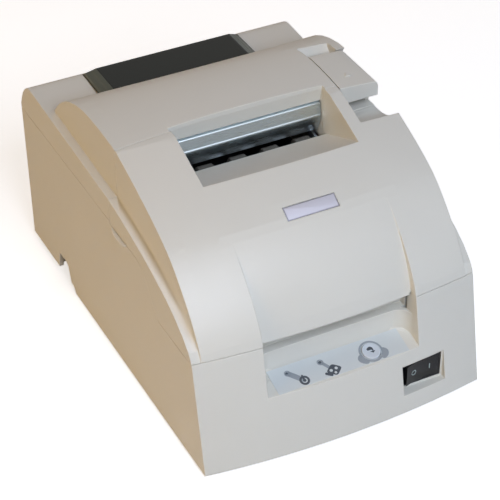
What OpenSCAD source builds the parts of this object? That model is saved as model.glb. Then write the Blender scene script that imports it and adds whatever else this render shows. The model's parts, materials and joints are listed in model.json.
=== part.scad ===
/* [Case] */
// Width across the side walls of the case
body_w = 160; // [158:1:166]
// Depth from the front face to the rear face
body_d = 236; // [234:1:242]
// Height of the roof above the table
body_h = 135; // [134:1:140]
// Width of the ledge at each side of the raised arch
ledge_w = 5; // [4:0.5:6]
// Wall thickness of the moulded case and covers
wall = 2.5; // [2:0.1:2.8]
// Height of the case's bottom edge above the table
skirt_z = 2; // [1.5:0.5:3]
// Step up of the bottom edge towards the rear
skirt_step = 3.5; // [2:0.5:4]
// Open gap at the seams between the covers and the case
seam_gap = 0.3; // [0.2:0.05:0.4]

/* [Bow] */
// Radius of the bow that rounds the roof and the front face from side to side
bow_r = 520; // [480:5:600]
// Lean of the bow's axis from upright
bow_tilt = 29.5; // [26:0.5:33]

/* [Seams] */
// Seam between the front cover and the roll cover, front to back
seam_y = -4; // [-6:0.5:-3]
// Drop from the roof to the seam under the roll cover
roll_seam_drop = 46; // [44:0.5:47]
// Drop from the roof to the seam under the front cover's rear part
side_seam_drop = 47.6; // [47:0.2:49]
// Drop from the roof to the seam under the front cover's nose
front_seam_drop = 70.6; // [69.8:0.1:71.2]

/* [Paper exit] */
// Width of the paper exit
slot_w = 88; // [84:1:90]
// Drop from the roof to the ramp's rear lip in the paper exit
ramp_drop = 28.5; // [27:0.5:29]
// Thickness of the steel tear plate
plate_t = 0.8; // [0.6:0.1:1.2]

/* [Control panel] */
// Width of the panel recess
recess_w = 87; // [84:1:90]
// Height of the recess floor at its rear
recess_floor_z = 41; // [40:0.5:43]
// Slope of the recess floor in degrees
panel_slope = 16; // [14:0.5:18]
// Radius of the feed button
button_r = 4.9; // [4.5:0.1:5.5]
// Travel of the feed button
button_travel = 0.8; // [0.5:0.1:1]
// Width of the power switch opening
switch_w = 26; // [24:0.5:28]
// Height of the power switch opening
switch_h = 16.8; // [16:0.2:17.2]
// Place of the power switch from the middle
switch_x = 45.6; // [44:0.5:48]

/* [Cover lever] */
// Width of the lever
lever_w = 23.1; // [22:0.1:23.5]
// Front edge of the lever
lever_front_y = -7; // [-7.5:0.1:-6.5]
// Rear edge of the lever
lever_rear_y = 27; // [26:0.5:28]
// Radius of the lever's pin
lever_pin_r = 1.5; // [1.2:0.1:1.8]

/* [Paper feed] */
// Radius of the feed roller's rubber sleeves
feed_r = 6.3; // [6:0.1:6.6]
// Radius of the pinch rollers
pinch_r = 5; // [4.6:0.1:5.2]
// Radius of the feed roller's shaft
feed_shaft_r = 3; // [2.5:0.1:3.5]
// Drop from the roof to the two roller axes
nip_drop = 37; // [36.5:0.5:38]
// Gap between the rollers that the paper passes
nip_gap = 0.25; // [0.2:0.05:0.5]
// Gear module of the feed train
gear_m = 1; // [0.95:0.05:1.05]
// Teeth on the motor pinion
pinion_teeth = 12; // [12:1:12]
// Teeth on the idler gear
idler_teeth = 36; // [36:1:36]
// Teeth on the feed gear
feed_teeth = 24; // [24:1:24]

/* [Print mechanism] */
// Room between each side frame's inner face and the case's outer face
side_room = 22; // [21:0.5:23]
// Thickness of the side frames
frame_t = 1.6; // [1.2:0.1:2]
// Radius of the carriage shaft
carriage_shaft_r = 3; // [2.5:0.1:3.5]
// Travel of the carriage to each side
carriage_travel = 30; // [26:1:32]
// Radius of the belt pulleys
pulley_r = 6; // [5.5:0.1:6.5]
// Distance of each belt pulley's axis from its side frame
pulley_inset = 13; // [12.5:0.5:14]
// Radius of the paper roll that the bin takes
roll_r = 41.5; // [38:0.5:41.5]
// Width of the paper roll that the bin takes
roll_w = 76; // [74:1:77]

/* [Fits] */
// Radial clearance of running fits
run_fit = 0.05; // [0.03:0.01:0.08]

/* [Hidden] */

yf = -body_d / 2;
yr = body_d / 2;
zt = body_h;
arch_w = body_w - 2 * ledge_w;
roll_seam_z = zt - roll_seam_drop;
side_seam_z = zt - side_seam_drop;
front_seam_z = zt - front_seam_drop;
ramp_lip_z = zt - ramp_drop;
nip_z = zt - nip_drop;
lever_x = arch_w / 2 - lever_w;
frame_gap = body_w - 2 * side_room;
pulley_gap = frame_gap - 2 * pulley_inset;
far = 400;
fine = 64;

// Plan of the bow: a point on the nose, the way towards the axis, and the axis itself
bow_ref = [yf + 28, zt - 45];
bow_dir = [cos(bow_tilt), -sin(bow_tilt)];
bow_axis = [sin(bow_tilt), cos(bow_tilt)];
bow_centre = bow_ref + bow_r * bow_dir;
bow_sweep = 46;

function bezier(p, n) = [for (i = [0:n]) let (t = i / n)
    pow(1 - t, 3) * p[0] + 3 * pow(1 - t, 2) * t * p[1] + 3 * (1 - t) * t * t * p[2] + pow(t, 3) * p[3]];
function drop_last(p) = [for (i = [0:len(p) - 2]) p[i]];
function unit(v) = v / norm(v);
// Moves each point of an open line by d to its left-hand side, seen along the line
function inset(p, d) = [for (i = [0:len(p) - 1])
    let (t = unit(p[min(i + 1, len(p) - 1)] - p[max(i - 1, 0)])) p[i] + d * [-t[1], t[0]]];

// Side outline of the arch on the middle plane, from the rear foot over the roof to the front face
nose_top = [yf + 49.5, zt - 25];
arch_foot_y = yr - 44.5;
peak_y = seam_y + 24;
roof_line = concat(
    drop_last(bezier([[arch_foot_y, zt - 27], [arch_foot_y - 6.5, zt - 14],
        [arch_foot_y - 24.5, zt], [peak_y, zt]], 8)),
    drop_last(bezier([[peak_y, zt], [peak_y - 9, zt], [seam_y + 5, zt - 0.3],
        [seam_y - 7, zt - 1.6]], 3)),
    drop_last(bezier([[seam_y - 7, zt - 1.6], [seam_y - 22, zt - 6.5],
        [yf + 66, zt - 15.2], nose_top], 7)));
nose_line = concat(
    drop_last(bezier([nose_top, [yf + 36, zt - 34], [yf + 16.2, front_seam_z + 15.3],
        [yf + 13, front_seam_z + 1.8]], 9)),
    [[yf + 13, front_seam_z + 1.8], [yf, skirt_z]]);
arch_line = concat(roof_line, nose_line);
// The same line with the sunk middle of the nose above the control panel
lip_y = yf + 17.2;
lip_z = front_seam_z - 0.9;
sunk_line = concat(roof_line,
    bezier([nose_top, [yf + 38, zt - 32.7], [yf + 22.5, zt - 49], [lip_y, lip_z]], 9),
    [[lip_y - 2.7, lip_z - 13.5]]);

// Side outline of the outer walls, from the rear bottom over the ledge to the front
shoulder_line = concat(
    [[yr - 3.5, skirt_z]],
    drop_last(bezier([[yr, roll_seam_z + 3], [yr - 4, zt - 32], [yr - 10, zt - 26.4],
        [yr - 16, zt - 26.4]], 6)),
    [[yr - 16, zt - 26.4]],
    bezier([[seam_y, zt - 32.5], [yf + 71, zt - 39], [yf + 27, zt - 51],
        [yf + 17.4, front_seam_z - 1.2]], 9));

// Hinge of the front cover, low inside the panel recess
front_hinge = [yf + 18.1, front_seam_z - 4.7];
// Hinge of the roll cover, inside the rear wall, and its round seam
rear_hinge = [yr - 4, roll_seam_z - 7];
rear_seam_r = 7.9;

// Places of the mechanism, as [y, z], hung from the seam and the roof
frame_x = frame_gap / 2;
nip_y = seam_y + 3.5;
pinch_at = [nip_y, nip_z];
feed_at = [nip_y - pinch_r - feed_r - nip_gap, nip_z];
idler_at = feed_at + gear_m * (feed_teeth + idler_teeth) / 2 * [sin(30), -cos(30)];
motor_at = idler_at + gear_m * (idler_teeth + pinion_teeth) / 2 * [sin(36), -cos(36)];
platen_at = [seam_y - 12, nip_z - 18];
shaft_at = [platen_at[0] - 30, nip_z - 38];
rail_at = [platen_at[0] - 8, shaft_at[1] - 2];
frame_y = [shaft_at[0] - 28, seam_y + 24];
roll_at = [yr - 61, roll_seam_z - 11];

// Draws an outline of [y, z] points and gives it a width along X
module across(outline, x0, x1) {
    translate([x0, 0, 0]) rotate([90, 0, 90]) linear_extrude(x1 - x0) polygon(outline);
}
module block(x0, x1, y0, y1, z0, z1) {
    translate([x0, y0, z0]) cube([x1 - x0, y1 - y0, z1 - z0]);
}
// A round bar along X through [y, z]
module bar(at, r, x0, x1) {
    translate([x0, at[0], at[1]]) rotate([0, 90, 0]) cylinder(r = r, h = x1 - x0, $fn = fine);
}
module post(x, y, z0, z1, r) {
    translate([x, y, z0]) cylinder(r = r, h = z1 - z0, $fn = fine);
}
module both_sides() {
    children();
    mirror([1, 0, 0]) children();
}
function on_bow(p) = let (v = p - bow_centre) [-(v * bow_dir), v * bow_axis];
// Turns a closed side outline about the bow's leaning axis
module bowed(outline) {
    translate([0, bow_centre[0], bow_centre[1]]) rotate([-bow_tilt, 0, 0])
        rotate([0, 0, -90 - bow_sweep / 2])
            rotate_extrude(angle = bow_sweep, $fn = 720) polygon([for (p = outline) on_bow(p)]);
}
function below(line) = concat([[line[0][0], -20]], line,
    [[line[len(line) - 1][0] - 5, -20]]);

// The arch between the ledges, d inside its outer face
module arch_body(d) {
    intersection() {
        bowed(below(inset(arch_line, d)));
        block(-arch_w / 2 + d, arch_w / 2 - d, -far, far, -15, far);
    }
}
// The full width up to the ledges, d inside its outer face
module shoulder_body(d) {
    s = inset(shoulder_line, d);
    intersection() {
        bowed(concat([[yr + 40, -20], [yr + 40, zt + 60], [nose_top[0], zt + 60]],
            inset(nose_line, d), [[yf - 5 + d, -20]]));
        across(concat([[s[0][0] - 1, -15]], s, [[yf - 30, s[len(s) - 1][1]], [yf - 30, -15]]),
            -body_w / 2 + d, body_w / 2 - d);
    }
}
module case_body(d) {
    arch_body(d);
    shoulder_body(d);
}

// Barrel about the front hinge through the seam's outer line, so the cover's edge swings past it
function face_y(x) = yf + 13 * (front_seam_z - skirt_z) / (front_seam_z + 1.8 - skirt_z)
    + 0.97 * x * x / 2 / on_bow([yf + 13, front_seam_z])[0];
function barrel_r(x) = norm([face_y(x) - front_hinge[0], front_seam_z - front_hinge[1]]);
module hinge_barrel(grow) {
    x0 = recess_w / 2 - (grow > 0 ? 0.2 : 0);
    both_sides() translate([0, front_hinge[0], front_hinge[1]]) rotate([90, 0, 90])
        rotate_extrude($fn = 96) polygon(concat([[0, x0]],
            [for (i = [0:4]) let (x = x0 + (body_w / 2 + 2 - x0) * i / 4) [barrel_r(x) + grow, x]],
            [[0, body_w / 2 + 2]]));
}

// Seam lines of the front cover's side, from its nose to its rear edge
step_line = bezier([[yf + 55, 0], [yf + 65, 1], [yf + 67, side_seam_z - front_seam_z - 1],
    [yf + 82, side_seam_z - front_seam_z]], 8);
function raised(line, z) = [for (p = line) [p[0], p[1] + z]];
module front_region() {
    difference() {
        across(concat([[-far, front_seam_z + seam_gap]], raised(step_line, front_seam_z + seam_gap),
            [[seam_y - seam_gap / 2, side_seam_z + seam_gap], [seam_y - seam_gap / 2, far],
            [-far, far]]), -far, far);
        hinge_barrel(seam_gap);
    }
}
module roll_region() {
    difference() {
        across([[seam_y + seam_gap / 2, roll_seam_z + seam_gap], [rear_hinge[0], roll_seam_z + seam_gap],
            [rear_hinge[0], rear_hinge[1]], [far, rear_hinge[1]], [far, far],
            [seam_y + seam_gap / 2, far]], -far, far);
        bar(rear_hinge, rear_seam_r + seam_gap, -far, far);
    }
}
notch_front = yr - 61;
module lower_region() {
    across(concat([[-far, skirt_z], [-far, front_seam_z]], raised(step_line, front_seam_z),
        [[seam_y + seam_gap / 2, side_seam_z], [seam_y + seam_gap / 2, roll_seam_z],
        [rear_hinge[0], roll_seam_z], [rear_hinge[0], rear_hinge[1]], [far, rear_hinge[1]],
        [far, skirt_z + skirt_step], [notch_front - 1, skirt_z + skirt_step],
        [notch_front - 4, skirt_z]]), -far, far);
    hinge_barrel(0);
    bar(rear_hinge, rear_seam_r, -far, far);
}

// The sunk control panel in the front of the case
recess_back_y = yf + 24;
recess_corner_r = 8;
// Top of the recess's rear wall
gutter_z = front_seam_z - 12.4;
panel_k = tan(panel_slope);
function floor_z(y) = recess_floor_z - (recess_back_y - y) * panel_k;
module recess_space(grow) {
    w = recess_w / 2 + grow;
    b = recess_back_y + grow;
    r = recess_corner_r + grow;
    intersection() {
        union() {
            block(-w, w, -far, recess_back_y - recess_corner_r, 0, far);
            block(-w + r, w - r, -far, b, 0, far);
            both_sides() post(recess_w / 2 - recess_corner_r, recess_back_y - recess_corner_r, 0, far, r);
        }
        across([[b, floor_z(b) - grow], [b, far], [-far, far], [-far, floor_z(-far) - grow]], -far, far);
    }
}

// The power switch opening and what fits it
switch_z = 20.1;
switch_face_y = yf + 9;
rocker_gap = 0.4;

// Connector bay in the rear wall
bay_w = body_w - 48;
bay_z0 = 14;
bay_z1 = 46;
bay_y = yr - 12;

// Hinge ears
ear_t = 3;
ear_x = recess_w / 2 + wall + 0.4;
front_ear_r = 2.4;
front_pin_r = 1.2;
rear_ear_x = [48, 54];
rear_pin_r = 2;

cream = [0.89, 0.86, 0.79];
steel = [0.72, 0.73, 0.75];
black = [0.12, 0.12, 0.12];

module finger_scoops() {
    // half-moon finger holds in the case, just under the front cover's rear side edges
    both_sides() intersection() {
        bar([seam_y - 12, side_seam_z + 6.9], 11, body_w / 2 - 2.4, body_w / 2 + 1);
        block(0, far, -far, far, 0, side_seam_z + seam_gap);
    }
}
module rear_lugs() {
    for (x = [rear_ear_x[0] - 3.3, rear_ear_x[1] + 0.3])
        block(x, x + 3, rear_hinge[0] - 4, yr - 2, rear_hinge[1] - 8, rear_hinge[1] + 3.5);
}
module lower_case() {
    color(cream) difference() {
        union() {
            intersection() {
                difference() {
                    case_body(0);
                    case_body(wall);
                }
                lower_region();
            }
            intersection() {
                case_body(0);
                lower_region();
                union() {
                    intersection() {
                        recess_space(wall);
                        block(-far, far, -far, far, 20, far);
                    }
                    block(switch_x - switch_w / 2 - 2, switch_x + switch_w / 2 + 2, -far,
                        switch_face_y + 1.5, switch_z - switch_h / 2 - 2, switch_z + switch_h / 2 + 2);
                    block(-bay_w / 2 - 2, bay_w / 2 + 2, bay_y - 2, far, bay_z0 - 2, bay_z1 + 2);
                    both_sides() rear_lugs();
                    both_sides() block(body_w / 2 - wall - 1.2, body_w / 2, seam_y - 24, seam_y - 1,
                        side_seam_z - 8, side_seam_z);
                    block(-recess_w / 2 - 2, recess_w / 2 + 2, recess_back_y + 1, recess_back_y + 7,
                        gutter_z - 2, front_seam_z - 0.5);
                    panel_frame() for (x = [-34, 34]) for (v = [-2.6, -11])
                        translate([x, v, -8.4 + board_t]) cylinder(r = 2, h = 6, $fn = 32);
                }
            }
            screw_bosses();
        }
        recess_space(0);
        // shadow gap between the recess's rear wall and the front cover's lip
        block(-recess_w / 2, recess_w / 2, recess_back_y - recess_corner_r, recess_back_y + 5,
            gutter_z, far);
        // power switch pocket and the hole behind it
        block(switch_x - switch_w / 2, switch_x + switch_w / 2, -far, switch_face_y,
            switch_z - switch_h / 2, switch_z + switch_h / 2);
        block(switch_x - switch_w / 2 + 1, switch_x + switch_w / 2 - 1, -far, switch_face_y + 25,
            switch_z - switch_h / 2 + 0.9, switch_z + switch_h / 2 - 0.6);
        block(switch_x - switch_w / 2 - 1.2, switch_x + switch_w / 2 + 1.2, switch_face_y + 1.5,
            switch_face_y + 6, switch_z - switch_h / 2 - 1, switch_z + switch_h / 2 + 1.3);
        // connector bay and the opening in its back wall
        block(-bay_w / 2, bay_w / 2, bay_y, far, bay_z0, bay_z1);
        block(-bay_w / 2 + 4, bay_w / 2 - 4, bay_y - 5, far, bay_z0 + 3, bay_z1 - 3);
        // button and lamp holes in the recess floor
        panel_frame() {
            translate([button_x, button_v, -6]) cylinder(r = button_r + 0.3, h = 12, $fn = fine);
            for (x = lamp_x) translate([x, lamp_v, -6]) cylinder(r = lamp_r + 0.05, h = 12, $fn = 32);
        }
        // cable notches low in both side walls
        across([[notch_front, 0], [notch_front + 5.5, skirt_z + 13], [notch_front + 8, skirt_z + 14.5],
            [notch_front + 17.5, skirt_z + 14.5], [notch_front + 20.5, 0]], -far, far);
        finger_scoops();
        // pin bores of both hinges, and the gaps that the roll cover's ears swing through
        both_sides() {
            bar(front_hinge, front_pin_r, recess_w / 2 + 0.8, ear_x);
            bar(front_hinge, front_ear_r + 0.3, ear_x - 0.2, ear_x + ear_t + 0.3);
            bar(rear_hinge, rear_pin_r, rear_ear_x[0] - 4, rear_ear_x[1] + 4);
            block(rear_ear_x[0] - 0.3, rear_ear_x[1] + 0.3, rear_hinge[0] - 6, far,
                rear_hinge[1] - 6, far);
        }
    }
}

// Where the base plate is screwed to the case
screw_at = [[body_w / 2 - 10, yf + 30], [body_w / 2 - 10, yr - 78]];
module screw_bosses() {
    both_sides() for (s = screw_at) difference() {
        union() {
            post(s[0], s[1], plate_z + base_t, 22, 4);
            block(s[0], body_w / 2 - wall + 0.3, s[1] - 1.2, s[1] + 1.2, plate_z + base_t, 22);
        }
        post(s[0], s[1], plate_z, 18, screw_r);
    }
}

ramp_k = 0.441;
ramp_lip_y = seam_y - 3;
module slot_space(grow) {
    w = slot_w / 2 + grow;
    across([[seam_y + 6, ramp_lip_z - 12], [ramp_lip_y + grow, ramp_lip_z - 12],
        [ramp_lip_y + grow, ramp_lip_z - grow], [ramp_lip_y, ramp_lip_z - grow * 1.1],
        [ramp_lip_y - 60, ramp_lip_z + 60 * ramp_k - grow * 1.1], [ramp_lip_y - 60, far],
        [seam_y + 6, far]], -w, w);
}
scoop_r = 27;
scoop_at = [seam_y - 4, zt - 21.5 + scoop_r];
module sunk_middle(d) {
    w = recess_w / 2 - 0.2 + d;
    difference() {
        case_body(d);
        block(-w, w, -far, nose_top[0], -20, far);
    }
    intersection() {
        bowed(below(inset(sunk_line, d)));
        block(-w, w, -far, nose_top[0] + 0.01, -15, far);
    }
}
module front_cover() {
    color(cream) difference() {
        union() {
            intersection() {
                difference() {
                    sunk_middle(0);
                    sunk_middle(wall);
                }
                union() {
                    front_region();
                    // the lip hangs a little lower over the panel recess
                    intersection() {
                        recess_space(-0.3);
                        block(-far, far, -far, recess_back_y - 1.5, lip_z, front_seam_z + 1);
                    }
                }
            }
            intersection() {
                case_body(0);
                front_region();
                union() {
                    difference() {
                        slot_space(2);
                        block(-far, far, -far, far, 0, ramp_lip_z - 4);
                    }
                    bar(scoop_at, scoop_r + 2.4, lever_x - 3, body_w);
                }
            }
            // arms behind the nose that carry the cover on its two pins
            both_sides() {
                bar(front_hinge, front_ear_r, ear_x, ear_x + ear_t);
                across([for (p = [[0, -front_ear_r], [7, -front_ear_r], [11, 2], [11, 26.7], [7, 21.7],
                    [7, 1.8], [0, 1.8]]) front_hinge + p], ear_x, ear_x + ear_t);
            }
        }
        slot_space(0);
        intersection() {
            bar(scoop_at, scoop_r, lever_x - 0.6, far);
            block(0, far, -far, far, zt - 35, far);
        }
        // seat of the badge
        badge_frame() translate([-badge_w / 2, -badge_h / 2, -0.4]) cube([badge_w, badge_h, 5]);
        both_sides() bar(front_hinge, front_pin_r + run_fit, ear_x - 1, ear_x + ear_t + 1);
    }
}

// Roll cover and what it carries
window_w = body_w - 64;
window_y = [arch_foot_y - 3.5, yr - 14];
window_z = zt - 22.6;
window_base_z = zt - 26.3;
bracket_z = zt - 23;
module lever_bay() {
    block(lever_x - 0.6, far, -far, lever_rear_y + tail_gap, bracket_z + 2, far);
}
rear_scoop_at = [lever_rear_y, zt + 3.3];
// Right cheek that holds the lever pin
cheek_x = [arch_w / 2 - 5.8, arch_w / 2 - 4];
rear_scoop_r = 14.3;
tail_gap = 0.95;
module roll_cover() {
    color(cream) difference() {
        union() {
            intersection() {
                difference() {
                    case_body(0);
                    case_body(wall);
                }
                roll_region();
            }
            intersection() {
                case_body(0);
                roll_region();
                union() {
                    // walls beside and behind the tear plate
                    both_sides() block(slot_w / 2 + 0.5, slot_w / 2 + 2.5, -far, seam_y + 11,
                        nip_z + 3, far);
                    block(-slot_w / 2 - 1, slot_w / 2 + 1, seam_y + 7.5, seam_y + 9.5, nip_z + 8, far);
                    // lip that turns down from the roof over the tear plate's top edge
                    across([[seam_y + 3, far], [seam_y + 3, zt - 3.4], [tear_y + 1.2, zt - 11.5],
                        [tear_y + 2.6, zt - 11.5], [tear_y + 2, zt - 3.4], [tear_y + 2, far]],
                        -slot_w / 2 - 1, slot_w / 2 + 1);
                    // tray, cheeks and rear scoop round the lever
                    block(lever_x - 2.9, far, -far, lever_rear_y + 14, bracket_z, bracket_z + 2);
                    block(lever_x - 2.9, lever_x - 0.6, -far, lever_rear_y + 14, bracket_z, far);
                    block(cheek_x[0], cheek_x[1], lever_pivot[0] - 5, lever_pivot[0] + 5, bracket_z,
                        lever_pivot[1] + 4);
                    intersection() {
                        bar(rear_scoop_at, rear_scoop_r + 2.4, lever_x - 1, arch_w / 2);
                        block(0, far, lever_rear_y + tail_gap, far, 0, far);
                    }
                }
            }
            // ears that carry the cover on its two pins
            both_sides() difference() {
                union() {
                    bar(rear_hinge, 4, rear_ear_x[0], rear_ear_x[1]);
                    block(rear_ear_x[0], rear_ear_x[1], rear_hinge[0] - 4, rear_hinge[0] + 2,
                        rear_hinge[1], roll_seam_z + 6);
                }
                bar(rear_hinge, rear_pin_r + run_fit, 0, far);
            }
        }
        window_form(0.1);
        // the roof stands back behind the tear plate
        block(-slot_w / 2 - 0.5, slot_w / 2 + 0.5, -far, seam_y + 3, roll_seam_z - 20, far);
        difference() {
            union() {
                lever_bay();
                bar(lever_pivot, lever_tail_r + 0.2, cheek_x[0] + 0.1, far);
            }
            block(cheek_x[0], cheek_x[1], lever_pivot[0] - 5, lever_pivot[0] + 5, 0,
                lever_pivot[1] + 4);
            block(0, far, -far, far, 0, bracket_z + 2);
        }
        intersection() {
            bar(rear_scoop_at, rear_scoop_r, lever_x - 0.6, cheek_x[0] + 0.3);
            block(0, far, lever_rear_y, far, 0, far);
        }
        bar(lever_pivot, lever_pin_r, lever_x - 4, body_w / 2);
    }
}
module window_form(grow) {
    w = window_w / 2;
    b = window_base_z - grow;
    b0 = b - 4 - 10 * grow;
    y1 = window_y[1];
    intersection() {
        translate([0, y1 + 1, 0]) rotate([90, 0, 0]) linear_extrude(y1 + 1 - window_y[0] + grow)
            polygon([[-w + 2.2 - grow, b0], [-w + 2.2 - grow, b], [-w - 2 * grow, b],
                [-w + 7 - 2 * grow, window_z], [w - 7 + 2 * grow, window_z], [w + 2 * grow, b],
                [w - 2.2 + grow, b], [w - 2.2 + grow, b0]]);
        across([[0, b0], [0, window_z], [y1 - 3 + 2 * grow, window_z], [y1 + 2 * grow, b],
            [y1 - 1.7 + grow, b], [y1 - 1.7 + grow, b0]], -far, far);
    }
}
module roll_window() {
    color([0.1, 0.11, 0.09]) difference() {
        window_form(0);
        block(-window_w / 2 + 4.2, window_w / 2 - 4.2, -far, window_y[1] - 4, 0, window_z - 2);
    }
}

// Badge on the front cover, on the slope of the nose
badge_w = 29.4;
badge_h = 7.8;
badge_x = 2.5;
badge_at = [yf + 52.5, zt - 26.2];
badge_slope = 31;
module badge_frame() {
    translate([badge_x, badge_at[0], badge_at[1]]) rotate([badge_slope, 0, 0]) children();
}
module badge_plate() {
    color([0.75, 0.75, 0.76]) badge_frame()
        translate([-badge_w / 2 + 0.1, -badge_h / 2 + 0.1, -0.4])
            cube([badge_w - 0.2, badge_h - 0.2, 2.6]);
}

// Control panel: a frame of axes on the recess floor, u along X, v up the slope
module panel_frame() {
    translate([0, recess_back_y, recess_floor_z]) rotate([panel_slope, 0, 0]) children();
}
overlay_w = 75;
overlay_v = [-16, -1.4];
overlay_t = 0.4;
button_x = 18.4;
button_v = -9.6;
lamp_x = [-28, -9.3];
lamp_v = -6.2;
lamp_r = 1;
module panel_overlay() {
    color([0.82, 0.86, 0.88]) panel_frame() difference() {
        translate([-overlay_w / 2, overlay_v[0], 0])
            cube([overlay_w, overlay_v[1] - overlay_v[0], overlay_t]);
        translate([button_x, button_v, -1]) cylinder(r = button_r + 0.3, h = 3, $fn = fine);
        for (x = lamp_x) translate([x, lamp_v, -1]) cylinder(r = lamp_r + 0.05, h = 3, $fn = 32);
    }
}
module feed_button() {
    color([0.78, 0.82, 0.85]) panel_frame() translate([button_x, button_v, 0]) {
        translate([0, 0, -3.2]) cylinder(r = button_r, h = 4.4, $fn = fine);
        translate([0, 0, -4.2]) cylinder(r = button_r + 1.2, h = 1, $fn = fine);
        translate([0, 0, -5.5]) cylinder(r = 1.5, h = 1.5, $fn = 32);
    }
}
module indicator_lights() {
    color([0.3, 0.75, 0.35]) panel_frame() for (x = lamp_x) translate([x, lamp_v, -6.8])
        cylinder(r = lamp_r, h = 7.3, $fn = 32);
}
board_t = 1.6;
module control_board() {
    color([0.1, 0.35, 0.2]) panel_frame() {
        translate([-38, -13, -8.4]) cube([76, 13.5, board_t]);
        // tactile switch under the button
        translate([button_x - 3, button_v - 3, -8.4 + board_t]) cube([6, 6, 0.4]);
    }
}

module power_switch_body() {
    w = switch_w / 2 - 1.1;
    z0 = switch_z - switch_h / 2 + 1;
    z1 = switch_z + switch_h / 2 - 0.7;
    color(black) difference() {
        union() {
            block(switch_x - w, switch_x + w, switch_face_y + 0.2, switch_face_y + 16, z0, z1);
            block(switch_x - w - 1.8, switch_x + w + 1.8, switch_face_y + 1.6, switch_face_y + 3,
                z0 - 1.6, z1 + 1.6);
        }
        block(switch_x - w + 1, switch_x + w - 1, -far, switch_face_y + 8, z0 + 1, z1 - 1);
        post(switch_x, switch_face_y + rocker_back, z0 - 3, z1 + 3, 0.8 + run_fit);
    }
}
rocker_back = 4.5;
rocker_angle = 12;
module power_rocker() {
    w = switch_w / 2 - 2.9;
    h0 = switch_z - switch_h / 2 + 2.2;
    h1 = switch_z + switch_h / 2 - 1.9;
    color(black) translate([switch_x, switch_face_y + rocker_back, 0]) rotate([0, 0, rocker_angle / 2]) {
        translate([0, 0, h0]) linear_extrude(h1 - h0)
            polygon([[-w, -5.6], [0, -4.4], [w, -5.6], [w, -2.2], [3, 1.5], [-3, 1.5], [-w, -2.2]]);
        translate([0, 0, h0 - 1.15]) cylinder(r = 0.8, h = h1 - h0 + 2.3, $fn = 32);
    }
}

// Base plate, feet and screws
plate_z = 3;
base_t = 1.5;
screw_r = 1.6;
base_y = [yf + 12, yr - 17];
foot_at = [[body_w / 2 - 18, yf + 22], [body_w / 2 - 18, yr - 30]];
foot_r = 7;
standoff_at = [[body_w / 2 - 30, yf + 22], [body_w / 2 - 30, yr - 88]];
module base_plate() {
    s = skirt_step;
    color(steel) difference() {
        union() {
            difference() {
                across([[base_y[0], plate_z], [notch_front - 6, plate_z], [notch_front - 3, plate_z + s],
                    [base_y[1], plate_z + s], [base_y[1], plate_z + s + base_t],
                    [notch_front - 3.6, plate_z + s + base_t], [notch_front - 6.6, plate_z + base_t],
                    [base_y[0], plate_z + base_t]], -body_w / 2 + wall + 0.4, body_w / 2 - wall - 0.4);
                // the plate stands back where the cable notches pass
                both_sides() block(body_w / 2 - 14, far, notch_front - 1, notch_front + 21, 0, 20);
            }
            both_sides() for (p = standoff_at) post(p[0], p[1], plate_z + base_t - 0.1, board_z, 2.6);
        }
        both_sides() for (p = screw_at) post(p[0], p[1], 0, 20, screw_r + 0.2);
        both_sides() for (i = [0, 1]) post(foot_at[i][0], foot_at[i][1], 0, 20, 2);
    }
}
module rubber_feet() {
    color([0.2, 0.2, 0.2]) both_sides() for (i = [0, 1]) {
        top = plate_z + i * skirt_step;
        post(foot_at[i][0], foot_at[i][1], 0, top, foot_r);
        post(foot_at[i][0], foot_at[i][1], top - 0.1, top + base_t + 1, 2);
    }
}
module base_screws() {
    color([0.6, 0.6, 0.62]) both_sides() for (p = screw_at) {
        post(p[0], p[1], plate_z - 0.9, plate_z, 3.2);
        post(p[0], p[1], plate_z - 0.1, 14, screw_r);
    }
}

// Circuit board and the connectors at the rear
board_z = 10;
leg_y = [roll_at[0] - 26, roll_at[0] + 25];
board_y = [yf + 17, bay_y - 9];
module main_board() {
    color([0.08, 0.33, 0.18]) difference() {
        block(-frame_x + 2, frame_x - 2, board_y[0], board_y[1], board_z, board_z + board_t);
        // clear of the belt motor above
        post(-pulley_gap / 2, belt_y, 0, 20, motor_r + 1);
        for (x = [-34, 34]) for (y = leg_y) block(x - 6, x + 6, y - 6, y + 6, 0, 20);
    }
}
module board_parts() {
    z = board_z + board_t;
    color([0.15, 0.15, 0.17]) {
        block(-14, 10, seam_y - 26, seam_y - 2, z, z + 2.4);
        block(18, 34, seam_y - 58, seam_y - 42, z, z + 2.2);
        block(-28, -14, seam_y - 60, seam_y - 46, z, z + 3);
        for (i = [0:2]) post(-37 + 11 * i, yf + 30, z, z + 11, 4);
        for (i = [0:2]) post(-22 + 14 * i, 12, z, z + 9, 3.5);
        block(10, 24, yf + 22, yf + 34, z, z + 8);
    }
}
module connector_plate() {
    color(steel) difference() {
        block(-bay_w / 2 + 0.6, bay_w / 2 - 0.6, bay_y, bay_y + 1, bay_z0 + 0.6, bay_z1 - 0.6);
        block(inlet_x - 8.2, inlet_x + 8.2, 0, far, bay_z0 + 5.8, bay_z0 + 22.2);
        block(port_x - 24.2, port_x + 24.2, 0, far, bay_z0 + 7.8, bay_z0 + 19.2);
        block(drawer_x - 7.2, drawer_x + 7.2, 0, far, bay_z0 + 6.8, bay_z0 + 20.2);
    }
}
inlet_x = 38;
port_x = -8;
drawer_x = -44;
module power_inlet() {
    color(black) difference() {
        block(inlet_x - 8, inlet_x + 8, bay_y - 12, bay_y + 2.2, bay_z0 + 6, bay_z0 + 22);
        translate([inlet_x, bay_y - 6, bay_z0 + 14]) rotate([-90, 0, 0])
            cylinder(r = 6, h = 20, $fn = fine);
    }
    color(steel) for (a = [0, 120, 240])
        translate([inlet_x + 3 * sin(a), bay_y - 8, bay_z0 + 14 + 3 * cos(a)])
            rotate([-90, 0, 0]) cylinder(r = 0.7, h = 5, $fn = 16);
}
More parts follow.
